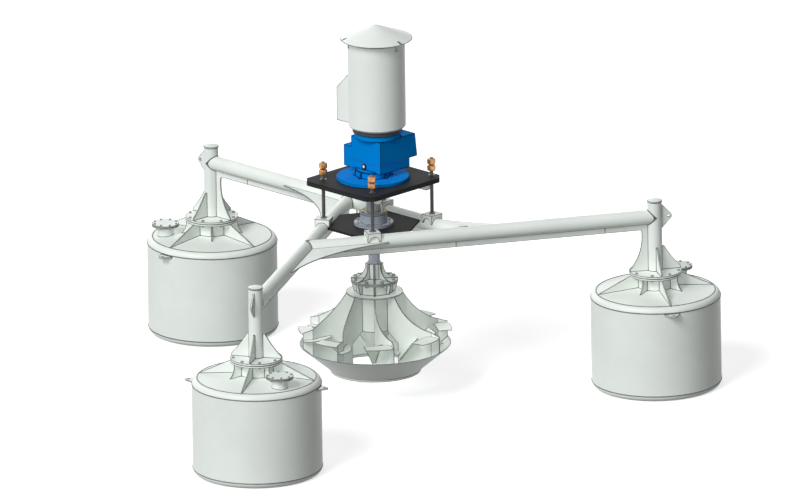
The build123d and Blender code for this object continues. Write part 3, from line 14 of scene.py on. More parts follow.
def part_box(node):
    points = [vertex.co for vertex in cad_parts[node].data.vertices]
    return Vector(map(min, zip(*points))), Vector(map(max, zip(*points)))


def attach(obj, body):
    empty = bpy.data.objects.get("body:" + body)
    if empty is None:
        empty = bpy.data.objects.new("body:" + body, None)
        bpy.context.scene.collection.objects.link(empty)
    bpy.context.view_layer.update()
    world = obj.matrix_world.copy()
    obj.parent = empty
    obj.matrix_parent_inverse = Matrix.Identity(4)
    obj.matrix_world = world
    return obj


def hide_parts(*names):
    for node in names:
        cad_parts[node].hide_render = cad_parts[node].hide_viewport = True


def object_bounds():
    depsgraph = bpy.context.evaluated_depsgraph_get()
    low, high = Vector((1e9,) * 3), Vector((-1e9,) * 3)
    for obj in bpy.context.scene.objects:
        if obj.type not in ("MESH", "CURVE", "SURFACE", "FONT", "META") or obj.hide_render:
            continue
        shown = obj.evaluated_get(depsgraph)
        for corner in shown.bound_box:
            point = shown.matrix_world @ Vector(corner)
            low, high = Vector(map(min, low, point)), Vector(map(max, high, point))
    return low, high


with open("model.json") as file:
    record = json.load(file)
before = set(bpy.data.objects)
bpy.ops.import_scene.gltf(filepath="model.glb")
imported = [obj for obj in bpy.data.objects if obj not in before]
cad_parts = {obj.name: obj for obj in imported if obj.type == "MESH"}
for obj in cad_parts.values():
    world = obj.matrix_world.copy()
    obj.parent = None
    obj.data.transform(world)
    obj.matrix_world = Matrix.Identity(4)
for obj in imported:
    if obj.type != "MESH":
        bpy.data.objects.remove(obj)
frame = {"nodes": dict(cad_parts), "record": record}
CAD_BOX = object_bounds()
LOG = logging.getLogger("aerator")
MM = 0.001
UP = Vector((0.0, 0.0, 1.0))
MERGE_M = 0.00001  # vertices nearer than this are one
COPY_MERGE_M = 0.00002  # the same for copies of CAD nodes, whose triangles come loose
SQUARE_DEG = 60  # only the square corners of a new piece are sharper than this
EDGE_SAMPLES = 8
SHELTER_SAMPLES = 6
CORNER_TURN = (0.996, 0.965)  # cosine between true and rounded normal: line begins, line is full
SHELTER = (0.72, 0.5)  # open share of the sky over a point: painted shade begins, painted shade is full


class Body(str, Enum):
    """Moving bodies that a piece can ride on."""

    FRAME = "frame"
    PLATFORM = "platform"


def linear(colour: str) -> tuple[float, float, float, float]:
    """Turn an sRGB hex colour into linear light.

    Args:
        colour: Six hex digits, with or without a leading hash.

    Returns:
        Red, green, blue and an alpha of one.
    """
    digits = colour.lstrip("#")
    values = []
    for start in (0, 2, 4):
        value = int(digits[start:start + 2], 16) / 255
        values.append(value / 12.92 if value <= 0.04045 else ((value + 0.055) / 1.055) ** 2.4)
    return (values[0], values[1], values[2], 1.0)


def per_metre(size_mm: float) -> float:
    """Scale of a pattern on Object coordinates whose features are this many millimetres wide."""
    return 1 / (size_mm * MM)


def add_node(
    tree: bpy.types.NodeTree,
    kind: str,
    settings: dict[str | int, Any] | None = None,
    links: dict[str | int, bpy.types.NodeSocket] | None = None,
) -> bpy.types.Node:
    """Add a node with its settings and its incoming links.

    Args:
        tree: Node tree of the material or world.
        kind: Blender's name of the node type.
        settings: Values for the node's own options and for its input sockets.
        links: Output sockets to join to the node's inputs, by input name or number.

    Returns:
        The new node.
    """
    made = tree.nodes.new(kind)
    for key, value in (settings or {}).items():
        if isinstance(key, str) and hasattr(made, key):
            setattr(made, key, value)
        else:
            made.inputs[key].default_value = value
    for key, source in (links or {}).items():
        tree.links.new(source, made.inputs[key])
    return made


def new_material(name: str) -> tuple[bpy.types.Material, bpy.types.NodeTree]:
    """Start an empty node material.

    Args:
        name: Name of the finish.

    Returns:
        The material and its node tree.
    """
    material = bpy.data.materials.new(name)
    material.use_nodes = True
    material.node_tree.nodes.clear()
    return material, material.node_tree


def tone_ramp(
    tree: bpy.types.NodeTree,
    source: bpy.types.NodeSocket,
    stops: Sequence[tuple[float, str]],
) -> bpy.types.NodeSocket:
    """Colour a grey pattern with a ramp.

    Args:
        tree: Node tree to add to.
        source: Grey output of a pattern.
        stops: Place and sRGB hex colour of each stop, in order.

    Returns:
        The ramp's colour output.
    """
    ramp = add_node(tree, "ShaderNodeValToRGB", {}, {"Fac": source})
    elements = ramp.color_ramp.elements
    while len(elements) < len(stops):
        elements.new(0.5)
    for element, (place, colour) in zip(elements, stops):
        element.position = place
        element.color = linear(colour)
    return ramp.outputs["Color"]


def corner_line_and_shade_mask(tree: bpy.types.NodeTree, reach_mm: float) -> bpy.types.NodeSocket:
    """Find the strips beside corners and joints: a dark line along each corner and crease, and
    painted shade where nearby surfaces shelter it.

    Args:
        tree: Node tree to add to.
        reach_mm: Real width of the strip on each side of a corner.

    Returns:
        Grey output that is one at a corner and nothing on open surface.
    """
    # A dark line along each corner and crease, where the rounded normal turns from the true one.
    rounded = add_node(
        tree, "ShaderNodeBevel", {"samples": EDGE_SAMPLES, "Radius": reach_mm * MM}
    )
    surface = add_node(tree, "ShaderNodeNewGeometry")
    turn = add_node(
        tree, "ShaderNodeVectorMath", {"operation": "DOT_PRODUCT"},
        {0: rounded.outputs["Normal"], 1: surface.outputs["Normal"]},
    )
    corner = add_node(
        tree, "ShaderNodeMapRange",
        {"From Min": CORNER_TURN[0], "From Max": CORNER_TURN[1], "To Min": 0.0, "To Max": 1.0},
        {"Value": turn.outputs["Value"]},
    )
    # Painted shade: the strip darkens where nearby surfaces hide the sky.
    shelter = add_node(
        tree, "ShaderNodeAmbientOcclusion",
        {"samples": SHELTER_SAMPLES, "Distance": reach_mm * MM},
    )
    joint = add_node(
        tree, "ShaderNodeMapRange",
        {"From Min": SHELTER[0], "From Max": SHELTER[1], "To Min": 0.0, "To Max": 1.0},
        {"Value": shelter.outputs["AO"]},
    )
    both = add_node(
        tree, "ShaderNodeMath", {"operation": "MAXIMUM"},
        {0: corner.outputs["Result"], 1: joint.outputs["Result"]},
    )
    return both.outputs["Value"]


@dataclass(frozen=True)
class SprayedEnamel:
    """Two-pack enamel sprayed over blasted steel: smooth, with orange peel and soft blotches.

    Real orange peel is 2 to 4 mm wide and would not show, so it is drawn 9 mm wide.
    """

    name: str
    colour: str
    shade: str
    # Colour and reach of the dark corner lines and of the painted shade in sheltered joints.
    edge: str = "#3C403E"
    edge_mm: float = 12
    roughness: float = 0.42
    blotch_mm: float = 420
    blotch_stops: tuple[float, float] = (0.35, 0.62)
    duller: float = 0.07
    shinier: float = 0.05
    peel_mm: float = 9
    peel_height_mm: float = 1.0
    peel_depth: float = 0.05
    ior: float = 1.5
    gloss_level: float = 0.3

    def make(self) -> bpy.types.Material:
        """Build the enamel as a node material.

        Returns:
            The new material.
        """
        material, tree = new_material(self.name)
        place = add_node(tree, "ShaderNodeTexCoord").outputs["Object"]
        blotch = add_node(
            tree, "ShaderNodeTexNoise",
            {"Scale": per_metre(self.blotch_mm), "Detail": 4.0, "Roughness": 0.55},
            {"Vector": place},
        )
        # Spray passes leave the film a shade thinner here and there.
        colour = tone_ramp(
            tree, blotch.outputs["Fac"], tuple(zip(self.blotch_stops, (self.shade, self.colour)))
        )
        peel = add_node(
            tree, "ShaderNodeTexNoise",
            {"Scale": per_metre(self.peel_mm), "Detail": 2.0, "Roughness": 0.5},
            {"Vector": place},
        )
        gloss = add_node(
            tree, "ShaderNodeMapRange",
            {
                "To Min": self.roughness - self.shinier, "To Max": self.roughness + self.duller,
            },
            {"Value": blotch.outputs["Fac"]},
        )
        # A thin dark line follows every edge, and painted shade darkens each sheltered corner and
        # weld toe.
        lined_and_shaded = add_node(
            tree, "ShaderNodeMix", {"data_type": "RGBA", "B": linear(self.edge)},
            {"Factor": corner_line_and_shade_mask(tree, self.edge_mm), "A": colour},
        )
        bump = add_node(
            tree, "ShaderNodeBump",
            {"Strength": self.peel_depth, "Distance": self.peel_height_mm * MM},
            {"Height": peel.outputs["Fac"]},
        )
        shader = add_node(
            tree, "ShaderNodeBsdfPrincipled",
            {"Metallic": 0.0, "IOR": self.ior, "Specular IOR Level": self.gloss_level},
            {
                "Base Color": lined_and_shaded.outputs["Result"], "Roughness": gloss.outputs["Result"],
                "Normal": bump.outputs["Normal"],
            },
        )
        add_node(tree, "ShaderNodeOutputMaterial", {}, {"Surface": shader.outputs["BSDF"]})
        return material


@dataclass(frozen=True)
class TurnedMetal:
    """Bare metal cut on a lathe or a mill: fine marks round the part and a soft metallic shine.

    Real tool marks are some 0.3 mm apart and would not show, so they are drawn 2.5 mm apart.
    """

    name: str
    colour: str
    shade: str
    roughness: float = 0.35
    duller: float = 0.12
    shinier: float = 0.1
    mark_mm: float = 2.5
    mark_stretch: float = 0.08
    mark_height_mm: float = 0.4
    mark_depth: float = 0.12
    stain_mm: float = 45
    stain_stops: tuple[float, float] = (0.3, 0.65)
    metallic: float = 1.0
    # Colour and reach of the dark corner lines and of the painted shade in sheltered joints.
    edge: str = "#3A332C"
    edge_mm: float = 3

    def make(self) -> bpy.types.Material:
        """Build the metal as a node material.

        Returns:
            The new material.
        """
        material, tree = new_material(self.name)
        place = add_node(tree, "ShaderNodeTexCoord").outputs["Object"]
        squeeze = add_node(
            tree, "ShaderNodeMapping",
            {"Scale": (self.mark_stretch, self.mark_stretch, 1.0)}, {"Vector": place},
        )
        # Tool marks run round the axis, so the pattern is stretched level and tight along Z.
        marks = add_node(
            tree, "ShaderNodeTexNoise",
            {"Scale": per_metre(self.mark_mm), "Detail": 3.0, "Roughness": 0.6},
            {"Vector": squeeze.outputs["Vector"]},
        )
        stain = add_node(
            tree, "ShaderNodeTexNoise",
            {"Scale": per_metre(self.stain_mm), "Detail": 5.0}, {"Vector": place},
        )
        colour = tone_ramp(
            tree, stain.outputs["Fac"], tuple(zip(self.stain_stops, (self.shade, self.colour)))
        )
        # A thin dark line follows every edge, and painted shade darkens each sheltered corner.
        metal_lined_and_shaded = add_node(
            tree, "ShaderNodeMix", {"data_type": "RGBA", "B": linear(self.edge)},
            {"Factor": corner_line_and_shade_mask(tree, self.edge_mm), "A": colour},
        )
        gloss = add_node(
            tree, "ShaderNodeMapRange",
            {
                "To Min": self.roughness - self.shinier, "To Max": self.roughness + self.duller,
            },
            {"Value": marks.outputs["Fac"]},
        )
        bump = add_node(
            tree, "ShaderNodeBump",
            {"Strength": self.mark_depth, "Distance": self.mark_height_mm * MM},
            {"Height": marks.outputs["Fac"]},
        )
        shader = add_node(
            tree, "ShaderNodeBsdfPrincipled", {"Metallic": self.metallic},
            {
                "Base Color": metal_lined_and_shaded.outputs["Result"], "Roughness": gloss.outputs["Result"],
                "Normal": bump.outputs["Normal"],
            },
        )
        add_node(tree, "ShaderNodeOutputMaterial", {}, {"Surface": shader.outputs["BSDF"]})
        return material


@dataclass(frozen=True)
class MouldedCompound:
    """Moulded rubber or plastic: even, with a grain from the mould.

    Real mould grain is finer than 1 mm and would not show, so it is drawn 3 mm wide.
    """

    name: str
    colour: str
    shade: str
    roughness: float = 0.6
    grain_mm: float = 3
    grain_stops: tuple[float, float] = (0.3, 0.7)
    grain_height_mm: float = 0.3
    grain_depth: float = 0.2

    def make(self) -> bpy.types.Material:
        """Build the compound as a node material.

        Returns:
            The new material.
        """
        material, tree = new_material(self.name)
        place = add_node(tree, "ShaderNodeTexCoord").outputs["Object"]
        grain = add_node(
            tree, "ShaderNodeTexNoise",
            {"Scale": per_metre(self.grain_mm), "Detail": 4.0}, {"Vector": place},
        )
        colour = tone_ramp(
            tree, grain.outputs["Fac"], tuple(zip(self.grain_stops, (self.shade, self.colour)))
        )
        bump = add_node(
            tree, "ShaderNodeBump",
            {"Strength": self.grain_depth, "Distance": self.grain_height_mm * MM},
            {"Height": grain.outputs["Fac"]},
        )
        shader = add_node(
            tree, "ShaderNodeBsdfPrincipled", {"Roughness": self.roughness},
            {"Base Color": colour, "Normal": bump.outputs["Normal"]},
        )
        add_node(tree, "ShaderNodeOutputMaterial", {}, {"Surface": shader.outputs["BSDF"]})
        return material


class Finish(Enum):
    """Every finish on the machine. An edge colour is that of the dark corner lines and painted
    shade.
    """

    # Machinery enamel on steel: a greenish light grey, evenly matt.
    PALE_ENAMEL = SprayedEnamel("pale_grey_enamel", "#E1E7E2", "#DCE2DD")
    # The same enamel on thin rolled sheet: a touch whiter, with a softer shine.
    SHELL_ENAMEL = SprayedEnamel("motor_shell_enamel", "#E3E8E4", "#DEE4DF", roughness=0.38)
    # Enamel over a rippled bead: reads as a thin grey line beside the plate.
    WELD_GREY = SprayedEnamel(
        "painted_weld_bead", "#9A9F9B", "#7F8480", roughness=0.5, peel_depth=0.3
    )
    # Primer grey of bought-in bearing housings, with a blue cast.
    SLATE_ENAMEL = SprayedEnamel("slate_blue_enamel", "#A0A9B4", "#98A1AD", edge="#50565E")
    # Epoxy floor-plate paint: nearly black and dull.
    CHARCOAL_ENAMEL = SprayedEnamel(
        "charcoal_epoxy", "#29292B", "#252527", edge="#141416", roughness=0.65, gloss_level=0.08
    )
    # Dark primer on the machined motor flange: grey and without shine.
    FLANGE_PRIMER = SprayedEnamel(
        "flange_grey_primer", "#484B4D", "#404345", edge="#1A1C1D", roughness=0.6, gloss_level=0.1
    )
    # Alkyd enamel on a casting: strong clean blue, nearly without shine, with a dark line and
    # painted shade along its corners.
    GEAR_BLUE = SprayedEnamel(
        "gearbox_blue_enamel", "#0080D2", "#007CCC", edge="#001D30", edge_mm=15,
        roughness=0.5, gloss_level=0.005,
    )
    # Turned steel, lightly oiled: cool grey with a broad soft shine.
    SHAFT_STEEL = TurnedMetal(
        "oiled_shaft_steel", "#9FA4AE", "#949AA5", roughness=0.5, metallic=0.3
    )
    # Rolled thread, greased: darker warm grey, its ridges too fine to shine one by one.
    SCREW_STEEL = TurnedMetal(
        "rolled_screw_steel", "#878480", "#75726E", roughness=0.5, metallic=0.4, edge="#5C5A58"
    )
    # Ground bearing and gear steel: the brightest and smoothest metal of the machine.
    GROUND_STEEL = TurnedMetal("ground_steel", "#B4B5B8", "#9C9DA1", roughness=0.3)
    # Zinc-flake coating: silver grey, slightly dusty.
    BOLT_STEEL = TurnedMetal(
        "zinc_flake_steel", "#A3A7A8", "#94989A", roughness=0.5, metallic=0.4, edge="#56595B"
    )
    # Passivated zinc plating: pale yellow with a metal shine.
    YELLOW_ZINC = TurnedMetal("yellow_passivated_zinc", "#D8CE7C", "#C2B55E", roughness=0.38)
    # Aluminium bronze: warm copper gold that does not gall on the screw, with a dark line and
    # painted shade at its corners.
    NUT_BRONZE = TurnedMetal(
        "aluminium_bronze", "#E2A870", "#B98450", roughness=0.34, metallic=0.7,
        edge="#4E3620", edge_mm=10,
    )
    # Cast tin bronze, bored and oiled: brown gold and duller than the nuts.
    BUSH_BRONZE = TurnedMetal("cast_bush_bronze", "#8C7148", "#7A6240", roughness=0.45)
    # Grey iron as cast: dark and grainy.
    GREY_IRON = TurnedMetal("grey_cast_iron", "#5C5E61", "#505255", roughness=0.6, mark_mm=6)
    # Pressed sheet rubber: black and quite dull.
    GASKET = MouldedCompound("gasket_rubber", "#232325", "#1B1B1D", roughness=0.75)
    # Moulded nylon: black, with a faint shine.
    PLUG_PLASTIC = MouldedCompound("black_nylon", "#17181A", "#0F1012", roughness=0.4)
    # Cured sealing paste squeezed out of a joint: a dark blue line, matt.
    SEALANT = MouldedCompound("dark_sealing_line", "#062B45", "#051F33", roughness=0.6)
    # Polished clear plastic over oil foam: looks nearly white, with a sharp highlight.
    SIGHT_GLASS = MouldedCompound(
        "pale_sight_glass", "#F2F5F6", "#E4E9EB", roughness=0.12, grain_mm=20
    )

    def material(self) -> bpy.types.Material:
        """The finish's material, made on first use."""
        made = bpy.data.materials.get(self.value.name)
        return made or self.value.make()


NODE_FINISHES: dict[Finish, tuple[str, ...]] = {
    Finish.PALE_ENAMEL: (
        "float_1", "float_2", "float_3", "float_necks", "float_lugs", "hatch_necks",
        "hatch_covers", "post_1", "post_2", "post_3", "post_caps", "arm_1", "arm_2", "arm_3",
        "arm_webs",
        "knee_gussets", "mooring_lugs", "jack_saddles", "impeller_hub", "impeller_core",
        "impeller_blades", "impeller_bowl", "roof_fins", "lens_fins", "scoop_walls", "plate_ribs",
    ),
    Finish.SHELL_ENAMEL: ("motor_cover", "rain_cap", "cap_straps", "terminal_hood"),
    Finish.SLATE_ENAMEL: ("guide_housing", "guide_cover"),
    Finish.CHARCOAL_ENAMEL: ("guide_plate", "drive_plate"),
    Finish.FLANGE_PRIMER: ("motor_flange",),
    Finish.GEAR_BLUE: ("gearbox_base", "gearbox_case"),
    Finish.SCREW_STEEL: ("jack_screw_1", "jack_screw_2", "jack_screw_3", "jack_screw_4"),
    Finish.BOLT_STEEL: ("post_bolts", "hatch_bolts", "base_bolts", "housing_bolts", "hub_bolts"),
    Finish.YELLOW_ZINC: ("cover_bolts",),
    Finish.BUSH_BRONZE: ("guide_bush", "lift_bushes"),
    Finish.GROUND_STEEL: (
        "output_bearings", "idler_bearings", "motor_bearings", "output_wheel",
        "idler_gears", "motor_rotor",
    ),
    Finish.SHAFT_STEEL: ("output_shaft",),
    Finish.GREY_IRON: ("motor_stator",),
    Finish.GASKET: ("hatch_gaskets",),
    Finish.PLUG_PLASTIC: ("oil_plug", "cooling_fan"),
}


def dress_cad_nodes() -> None:
    """Give every CAD node the material of its finish."""
    for finish, names in NODE_FINISHES.items():
        for name in names:
            slots = frame["nodes"][name].data.materials
            slots.clear()
            slots.append(finish.material())
    LOG.info("finishes on %d nodes", len(frame["nodes"]))


def select_only(*pieces: bpy.types.Object) -> None:
    """Deselect everything, then select some pieces and make the first one active.

    Args:
        pieces: The objects to select.
    """
    for other in bpy.context.selected_objects:
        other.select_set(False)
    for piece in pieces:
        piece.select_set(True)
    bpy.context.view_layer.objects.active = pieces[0]


def settle(piece: bpy.types.Object) -> None:
    """Move an object's place, turn and scale into its mesh."""
    select_only(piece)
    bpy.ops.object.transform_apply(location=True, rotation=True, scale=True)


def join(pieces: Sequence[bpy.types.Object]) -> bpy.types.Object:
    """Join settled objects into the first of them.

    Args:
        pieces: The objects to join.

    Returns:
        The first of them, which holds all.
    """
    select_only(*pieces)
    bpy.ops.object.join()
    return bpy.context.object


def edit(piece: bpy.types.Object, *steps: Callable[[], object]) -> None:
    """Run edit-mode steps on one piece.

    Args:
        piece: The object to edit.
        steps: Calls to operators, run in order on the piece's current selection.
    """
    select_only(piece)
    bpy.ops.object.mode_set(mode="EDIT")
    for step in steps:
        step()
    bpy.ops.object.mode_set(mode="OBJECT")


def pick_faces(piece: bpy.types.Object, wanted: Callable[[Vector, Vector], bool]) -> None:
    """Select the faces of a piece by their centre and normal.

    Args:
        piece: A settled object in object mode.
        wanted: Says from a face's centre and normal whether it is picked.
    """
    mesh = piece.data
    for item in (*mesh.vertices, *mesh.edges, *mesh.polygons):
        item.select = False
    for face in mesh.polygons:
        face.select = wanted(face.center, face.normal)


def run_modifier(piece: bpy.types.Object, kind: str, settings: dict[str, Any]) -> None:
    """Add one modifier, set it and apply it.

    Args:
        piece: The object to change.
        kind: Blender's name of the modifier type.
        settings: Values of the modifier's own options.
    """
    select_only(piece)
    made = piece.modifiers.new(kind.lower(), kind)
    for key, value in settings.items():
        setattr(made, key, value)
    bpy.ops.object.modifier_apply(modifier=made.name)


def ease_edges(
    piece: bpy.types.Object, width: float, segments: int = 2, angle: float = SQUARE_DEG
) -> None:
    """Round every edge sharper than an angle.

    Args:
        piece: The object to change.
        width: Width of the rounding in metres.
        segments: Facets across the rounding.
        angle: Least angle in degrees between the two faces.
    """
    run_modifier(
        piece, "BEVEL",
        {
            "width": width, "segments": segments, "limit_method": "ANGLE",
            "angle_limit": math.radians(angle), "use_clamp_overlap": True,
        },
    )


def hand_over(
    piece: bpy.types.Object,
    name: str,
    finish: Finish,
    body: str,
    replaced: Iterable[str] = (),
    smooth_deg: float = 35,
) -> None:
    """Clean, name and paint a finished piece and let it ride on its body.

    Args:
        piece: The finished object.
        name: Name of the piece.
        finish: Finish of the whole piece.
        body: Moving body that carries it.
        replaced: CAD nodes that it stands for.
        smooth_deg: Largest angle that is still shaded smooth.
    """
    settle(piece)
    edit(
        piece,
        lambda: bpy.ops.mesh.select_all(action="SELECT"),
        lambda: bpy.ops.mesh.remove_doubles(threshold=MERGE_M),
        lambda: bpy.ops.mesh.normals_make_consistent(inside=False),
    )
    select_only(piece)
    bpy.ops.object.shade_smooth_by_angle(angle=math.radians(smooth_deg))
    piece.name = piece.data.name = name
    piece.data.materials.clear()
    piece.data.materials.append(finish.material())
    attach(piece, body)
    for node in replaced:
        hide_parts(node)
    LOG.info("piece %s rides on %s", name, body)


def middle(node: str) -> Vector:
    """Centre of a node's box."""
    low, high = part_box(node)
    return (low + high) / 2


def heading(degrees: float) -> Vector:
    """Level direction at an angle from +X."""
    turn = math.radians(degrees)
    return Vector((math.cos(turn), math.sin(turn), 0.0))


@dataclass
class Leg:
    """One arm with its post and float, as the CAD model places them."""

    number: int
    heading_deg: float

    def direction(self) -> Vector:
        """Level direction of the arm, from the shaft towards its float."""
        return heading(self.heading_deg)

    def post_axis(self, height: float) -> Vector:
        """Point on the post's axis at a height."""
        centre = middle(f"float_{self.number}")
        return Vector((centre.x, centre.y, height))

    def pipe(self) -> tuple[float, float]:
        """Height of the arm's centre line and radius of its pipe."""
        low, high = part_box(f"arm_{self.number}")
        return (low.z + high.z) / 2, (high.z - low.z) / 2

    def crossing(self, other: "Leg") -> Vector:
        """Find where the centre lines of two arms meet.

        Args:
            other: The leg of the second arm.

        Returns:
            The point, on this arm's centre line.
        """
        height, _ = self.pipe()
        start, way = self.post_axis(height), self.direction()
        gap = other.post_axis(height) - start
        side = other.direction().cross(UP)
        return start + way * (gap.dot(side) / way.dot(side))


LEGS = (Leg(1, 90.0), Leg(2, 210.0), Leg(3, 330.0))


@dataclass
class WeldSeams:
    """Weld beads of the floats and of the tubular frame."""

    bead_r: float = 5 * MM
    bead_steps: int = 24
    web_bead_r: float = 3.5 * MM
    web_bead_sides: int = 12
    knuckle: float = 54 * MM
    roof_drop: float = 37.7 * MM
    roof_slope_deg: float = 4.95
    splice_places: tuple[float, float] = (477 * MM, 1900 * MM)
    web_half: float = 6 * MM
    web_depth: float = 53.5 * MM

    def ring(self, centre: Vector, radius: float) -> bpy.types.Object:
        """Make a level ring of weld.

        Args:
            centre: Centre of the ring.
            radius: Radius of the ring's centre line.

        Returns:
            The settled ring.
        """
        bpy.ops.curve.primitive_bezier_circle_add(radius=radius, location=centre)
        return self.thicken(bpy.context.object, self.bead_r)

    def thicken(self, line: bpy.types.Object, bead_r: float) -> bpy.types.Object:
        """Turn a curve into a round bead.

        Args:
            line: The curve, which is used up.
            bead_r: Radius of the bead.

        Returns:
            The settled bead.
        """
        line.data.dimensions = "3D"
        line.data.resolution_u = self.bead_steps
        line.data.bevel_depth = bead_r
        line.data.bevel_resolution = 2
        select_only(line)
        bpy.ops.object.convert(target="MESH")
        settle(bpy.context.object)
        return bpy.context.object

    def float_rings(self, leg: Leg) -> list[bpy.types.Object]:
        """Make the ring welds where a float's roof, knuckle, side and bottom meet.

        Args:
            leg: The leg that stands on the float.

        Returns:
            Three settled rings.
        """
        low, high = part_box(f"float_{leg.number}")
        radius = (high.x - low.x) / 2
        slope = math.radians(self.roof_slope_deg)
        reach = self.knuckle * math.tan((math.pi / 2 - slope) / 2)
        edge = high.z - self.roof_drop
        places = (
            (radius, edge - reach),
            (radius - reach * math.cos(slope), edge + reach * math.sin(slope)),
            (radius, low.z + self.knuckle),
        )
        return [self.ring(leg.post_axis(height), ring_r) for ring_r, height in places]

    def mitre(
        self, centre: Vector, arriving: Vector, other: Vector, radius: float
    ) -> list[bpy.types.Object]:
        """Make the bead where a pipe ends on the side of another of the same size.

        Args:
            centre: Point where the two centre lines meet.
            arriving: Direction in which the ending pipe reaches that point.
            other: Direction of the pipe that passes.
            radius: Radius of both pipes.

        Returns:
            Two half ellipses, settled.
        """
        halves = []
        for side in (1, -1):
            normal = (arriving + other * side).normalized()
            long_way = (arriving - other * side).normalized()
            short_way = arriving.cross(other).normalized()
            stretch = 1 / long_way.cross(arriving).length
            bpy.ops.curve.primitive_bezier_circle_add(radius=radius)
            loop = bpy.context.object
            turn = Matrix((long_way, short_way, normal)).transposed().to_4x4()
            loop.matrix_world = (
                Matrix.Translation(centre) @ turn @ Matrix.Diagonal((stretch, 1, 1, 1))
            )
            half = self.thicken(loop, self.bead_r)
            edit(
                half,
                lambda: bpy.ops.mesh.select_all(action="SELECT"),
                lambda: bpy.ops.mesh.bisect(
                    plane_co=centre, plane_no=other * side, clear_inner=True, use_fill=True
                ),
            )
            halves.append(half)
        return halves

    def splices(self, leg: Leg) -> list[bpy.types.Object]:
        """Make the upright butt welds on both sides of a web under its arm.

        Args:
            leg: The leg that the web belongs to.

        Returns:
            Four settled beads.
        """
        height, pipe_r = leg.pipe()
        side = leg.direction().cross(UP)
        beads = []
        for place in self.splice_places:
            for face in (1, -1):
                centre = leg.post_axis(height - pipe_r - self.web_depth / 2)
                centre += -leg.direction() * place + side * face * self.web_half
                bpy.ops.mesh.primitive_cylinder_add(
                    vertices=self.web_bead_sides, radius=self.web_bead_r,
                    depth=self.web_depth, location=centre,
                )
                bead = bpy.context.object
                settle(bead)
                ease_edges(bead, self.web_bead_r / 2)
                beads.append(bead)
        return beads

    def build(self) -> None:
        """Weld every float and arm."""
        for leg in LEGS:
            hand_over(
                join(self.float_rings(leg)), f"float_seams_{leg.number}", Finish.WELD_GREY,
                Body.FRAME.value,
            )
            height, pipe_r = leg.pipe()
            post = leg.post_axis(height)
            others = [other for other in LEGS if other is not leg]
            far = max(others, key=lambda other: (leg.crossing(other) - post).length)
            beads = self.mitre(post, leg.direction(), UP, pipe_r)
            beads += self.mitre(leg.crossing(far), -leg.direction(), far.direction(), pipe_r)
            beads += self.splices(leg)
            hand_over(
                join(beads), f"arm_seams_{leg.number}", Finish.WELD_GREY, Body.FRAME.value
            )


